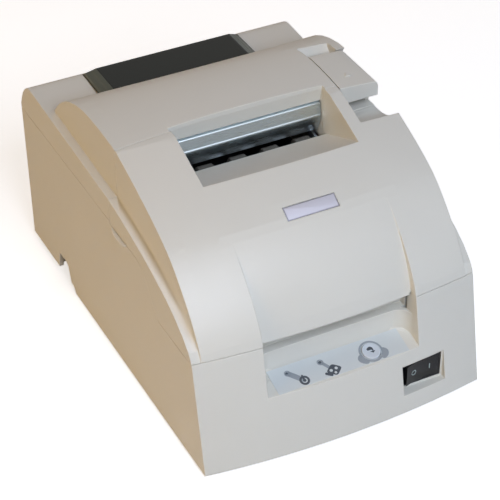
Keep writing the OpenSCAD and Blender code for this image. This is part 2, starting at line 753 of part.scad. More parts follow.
module interface_connector() {
    z = bay_z0 + 13.5;
    color(steel) difference() {
        union() {
            block(port_x - 24, port_x + 24, bay_y - 10, bay_y + 1.8, z - 5.5, z + 5.5);
            block(port_x - 18.5, port_x + 18.5, bay_y + 1.8, bay_y + 7, z - 4, z + 4);
        }
        block(port_x - 17.8, port_x + 17.8, bay_y + 2, bay_y + 9, z - 3.3, z + 3.3);
        for (s = [-1, 1]) translate([port_x + s * 21.3, bay_y - 2, z]) rotate([-90, 0, 0])
            cylinder(r = 1.3, h = 10, $fn = 32);
    }
    color(black) difference() {
        block(port_x - 17.4, port_x + 17.4, bay_y + 1.9, bay_y + 6, z - 2.9, z + 2.9);
        for (i = [0:12]) translate([port_x - 16.2 + 2.7 * i, bay_y + 3, z + 1.3]) rotate([-90, 0, 0])
            cylinder(r = 0.5, h = 5, $fn = 16);
        for (i = [0:11]) translate([port_x - 14.85 + 2.7 * i, bay_y + 3, z - 1.3]) rotate([-90, 0, 0])
            cylinder(r = 0.5, h = 5, $fn = 16);
    }
}
module drawer_socket() {
    z = bay_z0 + 13.5;
    color(black) difference() {
        block(drawer_x - 7, drawer_x + 7, bay_y - 11, bay_y + 2, z - 6.5, z + 6.5);
        block(drawer_x - 5, drawer_x + 5, bay_y - 8, bay_y + 5, z - 4.2, z + 3.8);
    }
}

// Side frames of the mechanism, standing on the base plate
module frame_outline(x0) {
    across([[frame_y[0], plate_z + base_t], [frame_y[0], nip_z - 24], [frame_y[0] + 14, cass_z[0]],
        [feed_at[0] - 12, cass_z[0]], [feed_at[0] - 8, nip_z + 5], [feed_at[0] + 4, nip_z + 5],
        [feed_at[0] + 8, nip_z - 6], [frame_y[1] + 12, nip_z - 36],
        [frame_y[1] + 12, plate_z + base_t]],
        x0, x0 + frame_t);
}
module frame_holes() {
    bar(shaft_at, carriage_shaft_r, -far, far);
    bar(feed_at, feed_shaft_r + run_fit, -far, far);
    // slots that the tie bar's ends pass
    block(-far, far, tie_y[0], tie_y[1], tie_z, tie_z + 2);
    // lightening window
    across([[frame_y[0] + 8, 22], [frame_y[0] + 8, shaft_at[1] - 10],
        [frame_y[1] - 22, shaft_at[1] - 10], [frame_y[1] - 22, 22]], -far, far);
}
module left_side_frame() {
    color(steel) difference() {
        union() {
            frame_outline(-frame_x - frame_t);
            block(-frame_x - 8, -frame_x, frame_y[0], frame_y[0] + 20, plate_z + base_t,
                plate_z + base_t + frame_t);
            block(-frame_x - 8, -frame_x, frame_y[1] - 10, frame_y[1] + 12, plate_z + base_t,
                plate_z + base_t + frame_t);
        }
        frame_holes();
    }
}
module right_side_frame() {
    color(steel) difference() {
        union() {
            frame_outline(frame_x);
            block(frame_x, frame_x + 8, frame_y[0], frame_y[0] + 20, plate_z + base_t,
                plate_z + base_t + frame_t);
            block(frame_x, frame_x + 8, frame_y[1] - 10, frame_y[1] + 12, plate_z + base_t,
                plate_z + base_t + frame_t);
        }
        frame_holes();
        bar(motor_at, 4, -far, far);
        bar(idler_at, stud_r, -far, far);
    }
}
tie_y = [frame_y[0] + 1, frame_y[0] + 9];
tie_z = shaft_at[1] + 10;
module frame_tie_bar() {
    color(steel) {
        block(-frame_x - frame_t - 0.6, frame_x + frame_t + 0.6, tie_y[0], tie_y[1], tie_z, tie_z + 2);
        // tab and stud of the idler pulley
        block(pulley_gap / 2 - 2.8, pulley_gap / 2 + 6, tie_y[1] - 1, belt_y + 5, tie_z, tie_z + 2);
        post(pulley_gap / 2, belt_y, belt_z - 2.4, tie_z + 1, motor_shaft_r);
    }
}
module platen() {
    color([0.25, 0.25, 0.26]) difference() {
        union() {
            block(-frame_x, frame_x, platen_at[0], platen_at[0] + 3, platen_at[1] - 7, platen_at[1] + 7);
            block(-frame_x, frame_x, platen_at[0] + 3, platen_at[0] + 10, platen_at[1] - 7, platen_at[1] - 4);
        }
        for (i = [-2:2]) post(18 * i, platen_at[0] + 7, platen_at[1] - 20, platen_at[1] + 10, 1.5);
    }
}
module carriage_shaft() {
    color([0.8, 0.8, 0.82]) bar(shaft_at, carriage_shaft_r, -frame_x - frame_t - 2, frame_x + frame_t + 2);
}
module guide_rail() {
    color(steel) difference() {
        block(-frame_x, frame_x, rail_at[0] - 3, rail_at[0] + 6, rail_at[1] - 9, rail_at[1]);
        block(-far, far, rail_at[0] - 1.5, far, rail_at[1] - 10, rail_at[1] - 1.5);
    }
}
head_w = 22;
module carriage() {
    color(black) difference() {
        union() {
            block(-17, 17, shaft_at[0] - 7, rail_at[0] - 4, shaft_at[1] - 5.5, shaft_at[1] + 5.5);
            block(-13, 13, rail_at[0] - 6, rail_at[0] + 3, rail_at[1] + 0.4, rail_at[1] + 4);
            // clamp for the belt
            block(-6, 6, belt_y + pulley_r - 1.3, shaft_at[0] - 6, belt_z - 1.9, belt_z - 0.3);
            block(-6, 6, belt_y + pulley_r - 1.3, belt_y + pulley_r - 0.3, belt_z - 1.9, belt_z + 5);
        }
        bar(shaft_at, carriage_shaft_r + run_fit, -far, far);
    }
}
head_z = shaft_at[1] + 5.5;
module print_head() {
    color([0.2, 0.2, 0.22]) {
        block(-head_w / 2, head_w / 2, shaft_at[0] - 4, platen_at[0] - 12, head_z, head_z + 14);
        // nose that carries the print wires to the platen
        across([[platen_at[0] - 12, head_z + 4], [platen_at[0] - 12, head_z + 16],
            [platen_at[0] - 2.2, platen_at[1] + 3], [platen_at[0] - 2.2, platen_at[1] - 3]], -5, 5);
    }
}
module head_heat_sink() {
    color([0.35, 0.35, 0.37]) for (i = [0:4])
        block(-head_w / 2, head_w / 2, shaft_at[0] - 16 + 2.6 * i, shaft_at[0] - 14.6 + 2.6 * i,
            head_z + 0.3, head_z + 17);
    color([0.35, 0.35, 0.37]) block(-head_w / 2 + 4, head_w / 2 - 4, shaft_at[0] - 16, shaft_at[0] - 4,
        head_z + 2, head_z + 12);
}
// Flat cable that loops from the head to the board
module head_cable() {
    y = shaft_at[0] - 32;
    z = belt_z - 6;
    color([0.85, 0.85, 0.82]) across([[y, board_z + board_t], [y, z - 9.5], [y + 2, z - 3.5],
        [y + 6, z - 0.5], [y + 26, z + 0.7], [y + 29, z + 2], [y + 30.5, z + 4.7], [y + 30, z + 4.7],
        [y + 28.6, z + 2.4], [y + 26, z + 1.2], [y + 6, z], [y + 1.6, z - 3.1],
        [y - 0.5, z - 9.5], [y - 0.5, board_z + board_t]], -9, 9);
}

// Belt drive of the carriage: two pulleys on upright shafts and a flat belt round them
belt_y = shaft_at[0] - 16;
belt_z = shaft_at[1] - 4.5;
belt_w = 6;
belt_t = 1.2;
module drive_pulley() {
    color([0.7, 0.65, 0.5]) translate([-pulley_gap / 2, belt_y, 0]) difference() {
        union() {
            translate([0, 0, belt_z - 0.6]) cylinder(r = pulley_r, h = belt_w + 1.2, $fn = fine);
            translate([0, 0, belt_z - 1.6]) cylinder(r = pulley_r + 2, h = 1, $fn = fine);
            translate([0, 0, belt_z + belt_w + 0.6]) cylinder(r = pulley_r + 2, h = 1, $fn = fine);
        }
        translate([0, 0, belt_z - 3]) cylinder(r = motor_shaft_r + run_fit, h = belt_w + 8, $fn = 32);
    }
}
module idler_pulley() {
    color([0.85, 0.85, 0.82]) translate([pulley_gap / 2, belt_y, 0]) difference() {
        union() {
            translate([0, 0, belt_z - 0.6]) cylinder(r = pulley_r, h = belt_w + 1.2, $fn = fine);
            translate([0, 0, belt_z - 1.6]) cylinder(r = pulley_r + 2, h = 1, $fn = fine);
            translate([0, 0, belt_z + belt_w + 0.6]) cylinder(r = pulley_r + 2, h = 1, $fn = fine);
        }
        translate([0, 0, belt_z - 3]) cylinder(r = motor_shaft_r + run_fit, h = belt_w + 8, $fn = 32);
    }
}
module timing_belt() {
    r0 = pulley_r + 0.1;
    module loop(r) {
        for (s = [-1, 1]) translate([s * pulley_gap / 2, belt_y, belt_z])
            cylinder(r = r, h = belt_w, $fn = fine);
        block(-pulley_gap / 2, pulley_gap / 2, belt_y - r, belt_y + r, belt_z, belt_z + belt_w);
    }
    color(black) difference() {
        loop(r0 + belt_t);
        for (z = [-1, 1]) translate([0, 0, z]) loop(r0);
    }
}
motor_shaft_r = 1.5;
motor_r = 12;
motor_h = 24;
motor_top = belt_z - 11.9;
module carriage_motor() {
    color([0.3, 0.3, 0.32]) translate([-pulley_gap / 2, belt_y, 0]) {
        translate([0, 0, motor_top - motor_h]) cylinder(r = motor_r, h = motor_h, $fn = fine);
        // bracket that hangs on the left side frame
        translate([pulley_gap / 2 - frame_x, -10, motor_top])
            cube([frame_x - pulley_gap / 2 + 10, 20, 1.5]);
        translate([0, 0, motor_top - 1])
            cylinder(r = motor_shaft_r, h = belt_z + belt_w + 3 - motor_top, $fn = 32);
    }
}

// Feed motor on the inside of the right frame, its pinion outside
gear_x = [frame_x + frame_t + 0.8, frame_x + frame_t + 5.8];
module feed_motor() {
    color([0.3, 0.3, 0.32]) {
        bar(motor_at, 13, frame_x - 15, frame_x);
        bar(motor_at, 3.9, frame_x - 0.1, frame_x + frame_t);
        bar(motor_at, motor_shaft_r, frame_x + frame_t - 0.1, gear_x[1] + 1);
    }
}
function turn(p, a) = [p[0] * cos(a) - p[1] * sin(a), p[0] * sin(a) + p[1] * cos(a)];
// Involute spur gear, its teeth thinned for running clearance
function involute(rb, t) = [rb * (cos(t) + t * PI / 180 * sin(t)), rb * (sin(t) - t * PI / 180 * cos(t))];
function gear_points(m, n) =
    let (rp = m * n / 2, rb = rp * cos(20), ro = rp + m * 0.9, rr = rp - m * 1.2,
        to = sqrt(pow(ro / rb, 2) - 1) * 180 / PI,
        tp = sqrt(pow(rp / rb, 2) - 1) * 180 / PI,
        off = tp - atan(tp * PI / 180) + 90 / n - 6 / n)
    [for (i = [0:n - 1]) let (a = 360 * i / n) each concat(
        [turn([min(rr, rb), 0], a - off - 1 / n)],
        [for (k = [0:3]) turn(let (q = involute(rb, to * k / 3)) [q[0], q[1]], a - off)],
        [for (k = [3:-1:0]) turn(let (q = involute(rb, to * k / 3)) [q[0], -q[1]], a + off)],
        [turn([min(rr, rb), 0], a + off + 1 / n)])];
module spur_gear(at, n, phase, bore, x0, x1) {
    translate([x0, at[0], at[1]]) rotate([90, 0, 90]) difference() {
        rotate([0, 0, phase]) linear_extrude(x1 - x0) polygon(gear_points(gear_m, n));
        translate([0, 0, -1]) cylinder(r = bore, h = x1 - x0 + 2, $fn = 32);
    }
}
stud_r = 2.5;
// Angles that bring the teeth into mesh: a tooth of one gear meets a gap of the next
feed_phase = -60;
idler_phase = 120 + 180 / idler_teeth;
motor_dir = -54;
pinion_phase = motor_dir + 180 - idler_teeth / pinion_teeth * (idler_phase - motor_dir)
    + 180 / pinion_teeth;
module motor_pinion() {
    color([0.8, 0.7, 0.4])
        spur_gear(motor_at, pinion_teeth, pinion_phase, motor_shaft_r + run_fit, gear_x[0], gear_x[1]);
}
module idler_gear() {
    color([0.9, 0.9, 0.88])
        spur_gear(idler_at, idler_teeth, idler_phase, stud_r + run_fit, gear_x[0], gear_x[1]);
}
module idler_stud() {
    color([0.8, 0.8, 0.82]) {
        bar(idler_at, stud_r, frame_x, gear_x[1] + 0.4);
        bar(idler_at, stud_r + 1.2, gear_x[1] + 0.4, gear_x[1] + 1.2);
    }
}
module feed_gear() {
    color([0.9, 0.9, 0.88])
        spur_gear(feed_at, feed_teeth, feed_phase, feed_shaft_r, gear_x[0], gear_x[1]);
}
module feed_shaft() {
    color([0.8, 0.8, 0.82]) {
        bar(feed_at, feed_shaft_r, -frame_x - frame_t - 2, gear_x[1] + 0.5);
        bar(feed_at, feed_shaft_r + 1.2, -frame_x - frame_t - 2, -frame_x - frame_t - 0.3);
    }
}
roller_len = 9;
roller_x = [for (i = [0:3]) slot_w / 2 - 10.5 - 19 * i];
module feed_rollers() {
    color([0.15, 0.15, 0.15]) for (x = roller_x) difference() {
        bar(feed_at, feed_r, x - roller_len / 2, x + roller_len / 2);
        bar(feed_at, feed_shaft_r, -far, far);
    }
}

// Chute that leads the paper from the roll to the platen, and the bin of the roll
bin_t = 1.8;
bin_r = roll_r + 2;
bin_w = roll_w / 2 + 2;
module paper_chute() {
    color(black) difference() {
        across([[roll_at[0] - 35, roll_at[1] - 31.4], [platen_at[0] + 5, platen_at[1] - 31.5],
            [platen_at[0] - 0.5, platen_at[1] - 23.5], [platen_at[0] - 2, platen_at[1] - 18],
            [platen_at[0] - 2, platen_at[1] - 9], [platen_at[0] - 0.6, platen_at[1] - 9],
            [platen_at[0] - 0.6, platen_at[1] - 17.7], [platen_at[0] + 0.8, platen_at[1] - 22.7],
            [platen_at[0] + 6, platen_at[1] - 30], [roll_at[0] - 35, roll_at[1] - 29.8]], -frame_x, frame_x);
        both_sides() block(bin_w + bin_t, far, platen_at[0] + 12, far, 0, far);
        for (i = [-2:2]) block(18 * i - 4, 18 * i + 4, platen_at[0] - 5, platen_at[0],
            platen_at[1] - 17, platen_at[1] - 12);
    }
}
module roll_bin() {
    color([0.3, 0.3, 0.3]) {
        difference() {
            union() {
                bar(roll_at, bin_r + bin_t, -bin_w - bin_t, bin_w + bin_t);
                both_sides() for (y = leg_y)
                    post(34, y, plate_z + base_t + (y > notch_front ? skirt_step : 0), roll_at[1] - 20, 4);
            }
            bar(roll_at, bin_r, -bin_w, bin_w);
            block(-far, far, -far, far, roll_seam_z - 4, far);
            block(-far, far, -far, roll_at[0] - 33, roll_at[1] - 48, far);
            // thin side cheeks: open in the middle so the roll can be lifted
            bar([roll_at[0], roll_seam_z + 4], 16, -far, far);
            bar(near_end_at, 1.2 + run_fit, -far, 0);
        }
    }
}

// Tear plate and pinch rollers on the roll cover
tear_y = seam_y + 3.2;
module tear_plate() {
    t = plate_t;
    // its flange stands behind the lip, and its first fold comes out under it
    f = tear_y + 2.65;
    color([0.8, 0.8, 0.82]) across([
        [f, zt - 6], [f, zt - 11.7], [tear_y + 0.4, zt - 12.4], [tear_y - 1, zt - 19.5],
        [tear_y + 0.4, zt - 25], [tear_y + 2.2, ramp_lip_z - 1.5], [tear_y + 2.2 + t, ramp_lip_z - 1.5],
        [tear_y + 0.5 + t, zt - 25], [tear_y - 0.9 + t, zt - 19.5], [tear_y + 0.4 + t, zt - 13.1],
        [f + t, zt - 12.4], [f + t, zt - 6]], -slot_w / 2, slot_w / 2);
}
arm_x = [6 - slot_w / 2, slot_w / 2 - 2];
module pinch_bracket() {
    color(steel) difference() {
        union() {
            // cross piece screwed behind the tear plate's wall
            block(-slot_w / 2 + 1, slot_w / 2 - 0.4, seam_y + 9.5, seam_y + 11, nip_z + 6, nip_z + 18);
            for (x = arm_x) across([[seam_y + 11, nip_z + 18], [seam_y + 9.5, nip_z + 5],
                [nip_y - 3.4, nip_z + 3], [nip_y - 3.4, nip_z - 3], [nip_y + 3, nip_z - 3.4],
                [seam_y + 14, nip_z + 4], [seam_y + 14, nip_z + 18]], x - 0.8, x + 0.8);
        }
        bar(pinch_at, 1.5 + run_fit, -far, far);
        block(-far, far, -far, seam_y + 9.4, nip_z + 7, far);
    }
}
module pinch_shaft() {
    color([0.8, 0.8, 0.82]) {
        bar(pinch_at, 1.5, arm_x[0] - 2, arm_x[1] + 1.6);
        bar(pinch_at, 2.4, arm_x[0] - 2, arm_x[0] - 1);
    }
}
module pinch_rollers() {
    color(black) for (x = roller_x) difference() {
        bar(pinch_at, pinch_r, x - roller_len / 2, x + roller_len / 2);
        bar(pinch_at, 1.5, -far, far);
    }
}

// Lever that frees the roll cover: its top follows the arch
lever_pivot = [lever_rear_y - 10, zt - 13];
lever_tail_r = norm([lever_rear_y - lever_pivot[0], zt - 1.6 - lever_pivot[1]]);
lever_round = 5;
hub_x = [[lever_x + 0.2, lever_x + 3.5], [lever_x + 10.7, cheek_x[0] - 0.4]];
spring_x = [lever_x + 4.1, lever_x + 10.1];
module lever_band(d, x0, x1, y0, y1, z0) {
    intersection() {
        arch_body(d);
        block(x0, x1, y0, y1, z0, far);
    }
}
module lever_skin(d) {
    // cross-section rounded where it wraps the arch's edge
    w = arch_w / 2 - d;
    r = lever_round - d;
    intersection() {
        lever_band(d, 0, far, -far, far, 0);
        bowed(concat([for (p = inset(arch_line, d)) if (p[0] > -60) p], [[-60, 60], [90, 60]]));
        union() {
            block(0, w - r, -far, far, 0, far);
            block(0, far, -far, far, 0, zt - 3 - lever_round);
            bar_y([w - r, zt - 3 - lever_round], r, -far, far);
        }
    }
}
module bar_y(at, r, y0, y1) {
    translate([at[0], y0, at[1]]) rotate([-90, 0, 0]) cylinder(r = r, h = y1 - y0, $fn = fine);
}
module cover_lever() {
    z0 = bracket_z + 2.4;
    color(cream) difference() {
        union() {
            difference() {
                intersection() {
                    lever_skin(0);
                    across([[lever_front_y, zt - 13], [lever_front_y + 9, zt - 13],
                        [lever_front_y + 9, z0], [lever_pivot[0], z0], [lever_rear_y, z0 + 3],
                        [lever_rear_y, far], [lever_front_y, far]], lever_x, far);
                }
                intersection() {
                    lever_skin(2.2);
                    block(lever_x + 2, far, lever_front_y + 2, lever_rear_y - 2, 0, far);
                }
            }
            for (x = hub_x) bar(lever_pivot, 3.6, x[0], x[1]);
            for (x = hub_x) block(x[0], x[1], lever_pivot[0] - 1.2, lever_pivot[0] + 1.2,
                lever_pivot[1], zt - 3.6);
        }
        bar(lever_pivot, lever_pin_r + run_fit, 0, far);
        // room for the right cheek of the roll cover
        block(cheek_x[0] - 0.3, cheek_x[1] + 0.4, lever_pivot[0] - 8, lever_pivot[0] + 8, 0,
            lever_pivot[1] + 5);
    }
}
module lever_pin() {
    color([0.8, 0.8, 0.82]) bar(lever_pivot, lever_pin_r, lever_x - 2.4, cheek_x[1]);
}
module lever_spring() {
    color([0.7, 0.7, 0.72]) difference() {
        union() {
            bar(lever_pivot, 2.8, spring_x[0], spring_x[1]);
            block(spring_x[0], spring_x[0] + 1, lever_pivot[0] + 1.8, lever_pivot[0] + 2.8,
                bracket_z + 2, lever_pivot[1]);
        }
        bar(lever_pivot, lever_pin_r + 0.1, 0, far);
    }
}

// Ribbon cassette over the head
cass_z = [nip_z - 13.5, nip_z - 3.5];
cass_x = frame_x - 2;
cass_y = [shaft_at[0] - 20, platen_at[0] - 6];
module ribbon_cassette() {
    color(black) difference() {
        union() {
            block(-cass_x, cass_x, cass_y[0], cass_y[1], cass_z[0], cass_z[1]);
            // ears that rest on the side frames
            both_sides() block(cass_x - 1, frame_x + frame_t + 0.6, cass_y[0] + 12, cass_y[1] - 6,
                cass_z[0], cass_z[0] + 2);
        }
        block(-cass_x + 10, cass_x - 10, cass_y[0] + 9, far, 0, far);
        post(knob_at[0], knob_at[1], cass_z[0] + 3, far, knob_r + 0.2);
        post(knob_at[0], knob_at[1], 0, far, 1.5 + run_fit);
    }
}
knob_at = [5 - cass_x, cass_y[0] + 9];
knob_r = 3.6;
module ribbon_knob() {
    color([0.3, 0.35, 0.6]) {
        post(knob_at[0], knob_at[1], cass_z[0] + 3.2, cass_z[1] + 2, knob_r);
        post(knob_at[0], knob_at[1], cass_z[0] + 0.5, cass_z[0] + 3.3, 1.5);
    }
}
module ribbon_strip() {
    color([0.25, 0.2, 0.35])
        block(-50, 50, platen_at[0] - 1.6, platen_at[0] - 1.3, platen_at[1] - 5, platen_at[1] + 6);
}

module front_hinge_pins() {
    color([0.8, 0.8, 0.82]) both_sides() bar(front_hinge, front_pin_r, recess_w / 2 + 0.8, ear_x + ear_t);
}
module rear_hinge_pins() {
    color([0.8, 0.8, 0.82]) both_sides()
        bar(rear_hinge, rear_pin_r, rear_ear_x[0] - 3.3, rear_ear_x[1] + 3.3);
}
near_end_at = [roll_at[0] - 22, roll_at[1] - 24];
near_end_tip = [roll_at[0] - 8, roll_at[1] + 4.5];
module near_end_lever() {
    x = -bin_w - bin_t;
    color(black) {
        bar(near_end_at, 3, x - 1.8, x - 0.3);
        bar(near_end_at, 1.2, x - 1.8, x + bin_t);
        bar(near_end_tip, 1.8, x - 1.8, x + bin_t + 0.4);
        across([near_end_at + [-2.2, 1], near_end_at + [2.4, -1], near_end_tip + [1.6, -0.6],
            near_end_tip + [-1.6, 0.6]], x - 1.8, x - 0.3);
    }
}

lower_case();
front_cover();
roll_cover();
roll_window();
badge_plate();
panel_overlay();
feed_button();
indicator_lights();
power_switch_body();
power_rocker();
control_board();
base_plate();
rubber_feet();
base_screws();
main_board();
board_parts();
connector_plate();
interface_connector();
power_inlet();
drawer_socket();
left_side_frame();
right_side_frame();
frame_tie_bar();
platen();
carriage_shaft();
guide_rail();
carriage();
print_head();
head_heat_sink();
head_cable();
timing_belt();
drive_pulley();
idler_pulley();
carriage_motor();
feed_motor();
motor_pinion();
idler_gear();
idler_stud();
feed_gear();
feed_shaft();
feed_rollers();
paper_chute();
roll_bin();
tear_plate();
pinch_bracket();
pinch_shaft();
pinch_rollers();
cover_lever();
lever_pin();
lever_spring();
ribbon_cassette();
ribbon_strip();
ribbon_knob();
front_hinge_pins();
rear_hinge_pins();
near_end_lever();
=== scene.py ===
import bpy, bmesh, json, math
import numpy as np
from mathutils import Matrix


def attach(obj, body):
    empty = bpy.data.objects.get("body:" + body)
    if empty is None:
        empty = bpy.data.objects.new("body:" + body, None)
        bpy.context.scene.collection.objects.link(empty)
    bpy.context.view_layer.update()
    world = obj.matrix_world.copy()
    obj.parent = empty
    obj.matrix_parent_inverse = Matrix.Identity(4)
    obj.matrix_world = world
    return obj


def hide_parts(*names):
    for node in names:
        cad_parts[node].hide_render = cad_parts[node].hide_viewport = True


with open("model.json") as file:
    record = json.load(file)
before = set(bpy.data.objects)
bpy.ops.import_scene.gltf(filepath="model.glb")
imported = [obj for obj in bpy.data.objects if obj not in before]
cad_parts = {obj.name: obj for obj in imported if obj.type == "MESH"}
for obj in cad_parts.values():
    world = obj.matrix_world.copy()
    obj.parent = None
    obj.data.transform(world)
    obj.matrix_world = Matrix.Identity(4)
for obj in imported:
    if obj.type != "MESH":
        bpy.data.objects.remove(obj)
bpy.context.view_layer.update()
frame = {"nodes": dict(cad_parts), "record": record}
nodes = frame["nodes"]
body_of = {n: b for b, names in frame["record"]["behaviour"]["bodies"].items() for n in names}
MM = 0.001


# ---------------------------------------------------------------- materials

def linear(hex_colour):
    """sRGB hex to linear RGBA."""
    c = np.array([int(hex_colour[i:i + 2], 16) / 255 for i in (0, 2, 4)])
    c = np.where(c <= 0.04045, c / 12.92, ((c + 0.055) / 1.055) ** 2.4)
    return (*c, 1.0)


def add(tree, kind, settings=None, **links):
    """Adds one node: settings are its properties or sockets, links are sockets fed by other nodes. A link is
    named after its socket, or _0, _1 and so on where sockets share a name."""
    n = tree.nodes.new("ShaderNode" + kind)
    for key, value in (settings or {}).items():
        if isinstance(key, str) and hasattr(n, key):
            setattr(n, key, value)
        else:
            n.inputs[key].default_value = value
    for key, source in links.items():
        title = key.replace("_", " ")
        socket = n.inputs[title] if title in n.inputs else n.inputs[int(key[1:])]
        tree.links.new(source, socket)
    return n


def ramp(tree, source, stops):
    """Colour ramp through (place, colour) stops, fed by source."""
    n = add(tree, "ValToRGB", Fac=source)
    e = n.color_ramp.elements
    while len(e) < len(stops):
        e.new(0.5)
    for item, (place, colour) in zip(e, stops):
        item.position, item.color = place, colour
    return n.outputs["Color"]


def finish_of(name, colour, roughness, metallic=0.0, grain_mm=None, bump=0.0, tint=0.0,
              stretch=(1, 1, 1), ior=1.5, rough_spread=0.0, edge_mm=0.0, shine=0.5, rim=None):
    """One surface finish. grain_mm is the size of its texture, bump its height in mm, tint how far its colour
    drifts, stretch the grain's shape along X, Y, Z, rough_spread how far its roughness drifts, edge_mm the
    radius of its broken or moulded edges, shine the specular level, and rim the paler colour painted on its
    rounded edges as a highlight, which needs a tint to mix with."""
    m = bpy.data.materials.new(name)
    m.use_nodes = True
    t = m.node_tree
    s = t.nodes["Principled BSDF"]
    s.inputs["Base Color"].default_value = linear(colour)
    s.inputs["Roughness"].default_value = roughness
    s.inputs["Metallic"].default_value = metallic
    if not metallic:
        s.inputs["IOR"].default_value = ior
        s.inputs["Specular IOR Level"].default_value = shine
    m.diffuse_color = linear(colour)
    where = add(t, "TexCoord").outputs["Object"]
    if tint:
        slow = add(t, "TexNoise", {"Scale": 22.0, "Detail": 2.0}, Vector=where)
        c = np.array(linear(colour)[:3])
        t.links.new(ramp(t, slow.outputs["Fac"], [(0.3, (*np.clip(c * (1 - tint), 0, 1), 1)),
                                                   (0.7, (*np.clip(c * (1 + tint), 0, 1), 1))]),
                    s.inputs["Base Color"])
    if rim:
        # on a rounded edge the eased normal leaves the face's own, and there a paler colour is painted in as
        # a highlight
        eased = add(t, "Bevel", {"Radius": edge_mm * MM}).outputs["Normal"]
        plain = add(t, "NewGeometry").outputs["Normal"]
        turn = add(t, "VectorMath", {"operation": "DOT_PRODUCT"}, _0=eased, _1=plain)
        painted_edge_highlight = add(t, "MapRange", {"From Min": 0.995, "From Max": 0.85, "To Max": 0.55},
                   Value=turn.outputs["Value"])
        both = add(t, "Mix", {"data_type": "RGBA", 7: linear(rim)}, _0=painted_edge_highlight.outputs["Result"],
                   _6=s.inputs["Base Color"].links[0].from_socket)
        t.links.new(both.outputs[2], s.inputs["Base Color"])
    if grain_mm:
        # Object coordinates are metres, so one grain is grain_mm across
        placed = add(t, "Mapping", {"Scale": stretch}, Vector=where)
        grain = add(t, "TexNoise", {"Scale": 1 / (grain_mm * MM), "Detail": 2.0, "Roughness": 0.6},
                    Vector=placed.outputs["Vector"])
        relief = add(t, "Bump", {"Strength": 1.0, "Distance": bump * MM}, Height=grain.outputs["Fac"])
        if edge_mm:
            rounded = add(t, "Bevel", {"Radius": edge_mm * MM})
            t.links.new(rounded.outputs["Normal"], relief.inputs["Normal"])
        t.links.new(relief.outputs["Normal"], s.inputs["Normal"])
        if rough_spread:
            r = add(t, "MapRange", {"To Min": roughness - rough_spread, "To Max": roughness + rough_spread},
                    Value=grain.outputs["Fac"])
            t.links.new(r.outputs["Result"], s.inputs["Roughness"])
    return m


# ABS, injection moulded against a spark-eroded tool: warm off-white with a fine matt grain.
# The real grain is about 0.15 mm; 0.5 mm is drawn so that it shows.
# its rounded edges get a paler colour painted on them as a highlight
cream_abs = finish_of("abs_moulded_spark_eroded", "dbd8ce", 0.42, grain_mm=0.5, bump=0.010, tint=0.012,
                      rough_spread=0.05, edge_mm=0.7, rim="fbf6ea")
# Polycarbonate, smoked and polished: nearly black with a clear gloss
smoked = finish_of("polycarbonate_smoked", "16180f", 0.2, grain_mm=6.0, bump=0.004, edge_mm=1.6, shine=0.1)
# The same sheet at the window's ends, painted paler to stand in for light that comes through it from behind
painted_backlight_end = finish_of("polycarbonate_smoked_end", "454a40", 0.3, grain_mm=6.0, bump=0.004, edge_mm=1.6,
                       shine=0.2)
# Stainless strip, cold rolled and brushed along its length
brushed_strip = finish_of("stainless_brushed_strip", "ccd9e2", 0.28, metallic=1.0, grain_mm=0.25,
                          bump=0.0012, stretch=(0.02, 1, 1), rough_spread=0.03)
# Zinc plated sheet, pressed: soft spangle
zinc_sheet = finish_of("zinc_plated_sheet", "b4b7ba", 0.38, metallic=1.0, grain_mm=3.0, bump=0.002,
                       rough_spread=0.08, edge_mm=0.2)
# Ground steel bar: fine rings round the shaft
ground_steel = finish_of("ground_steel_bar", "c9cbcd", 0.2, metallic=1.0, grain_mm=0.2, bump=0.002,
                         stretch=(1, 0.05, 0.05))
# Nitrile rubber, moulded: dull black with a faint bloom
black_rubber = finish_of("nitrile_rubber_moulded", "1b1b1c", 0.68, grain_mm=0.6, bump=0.01, tint=0.15)
# ABS, moulded black, satin
black_abs = finish_of("abs_moulded_black", "1c1c1e", 0.42, grain_mm=0.5, bump=0.008, tint=0.06, edge_mm=0.35)
# Charcoal ABS of the paper guide, dusty with use
guide_grey = finish_of("abs_moulded_charcoal", "4a4c44", 0.5, grain_mm=0.5, bump=0.008, tint=0.08)
# The same plastic from a polished tool, as a switch key is
black_gloss = finish_of("abs_moulded_polished", "17181a", 0.22, grain_mm=2.0, bump=0.003)
# Roller rubber, ground: brownish grey with paper dust in it
roller_rubber = finish_of("chloroprene_ground", "55514a", 0.72, grain_mm=0.4, bump=0.015, tint=0.12)
# Cast polyurethane, as toothed belts are
belt_rubber = finish_of("polyurethane_belt", "222325", 0.5, grain_mm=0.5, bump=0.006)
# Steel, turned and zinc plated
screw_zinc = finish_of("steel_zinc_plated_turned", "b9bcc0", 0.28, metallic=1.0, grain_mm=0.4, bump=0.002)
# Music wire, drawn and coiled cold
spring_wire = finish_of("music_wire_drawn", "8f9296", 0.25, metallic=1.0, grain_mm=0.3, bump=0.002)
# Glass filled polyester, moulded
connector_blue = finish_of("polyester_moulded_insulator", "22345c", 0.4, grain_mm=0.5, bump=0.006)
# Sleeve of a capacitor, shrunk on
sleeve_blue = finish_of("shrink_sleeve_printed", "26324a", 0.3, grain_mm=1.0, bump=0.004)
# Polyester film, back printed, matt
overlay_film = finish_of("polyester_film_printed", "d3d7d6", 0.42, grain_mm=0.4, bump=0.004)
# Screen ink on the film, dark and pale
ink_dark = finish_of("screen_ink_slate", "4b5158", 0.5, grain_mm=0.3, bump=0.002)
ink_grey = finish_of("screen_ink_grey", "989ea3", 0.5, grain_mm=0.3, bump=0.002)
# Pad printed white on black plastic
ink_white = finish_of("pad_print_white", "93a09d", 0.5, grain_mm=0.3, bump=0.002)
# ABS, moulded, cool grey white
key_plastic = finish_of("abs_moulded_key_cap", "d3d9df", 0.38, grain_mm=0.5, bump=0.005)
# Acrylic lamp lens, smoked grey while the lamp is off
lens = finish_of("acrylic_lamp_lens", "5d646b", 0.16, ior=1.49, grain_mm=1.0, bump=0.004)
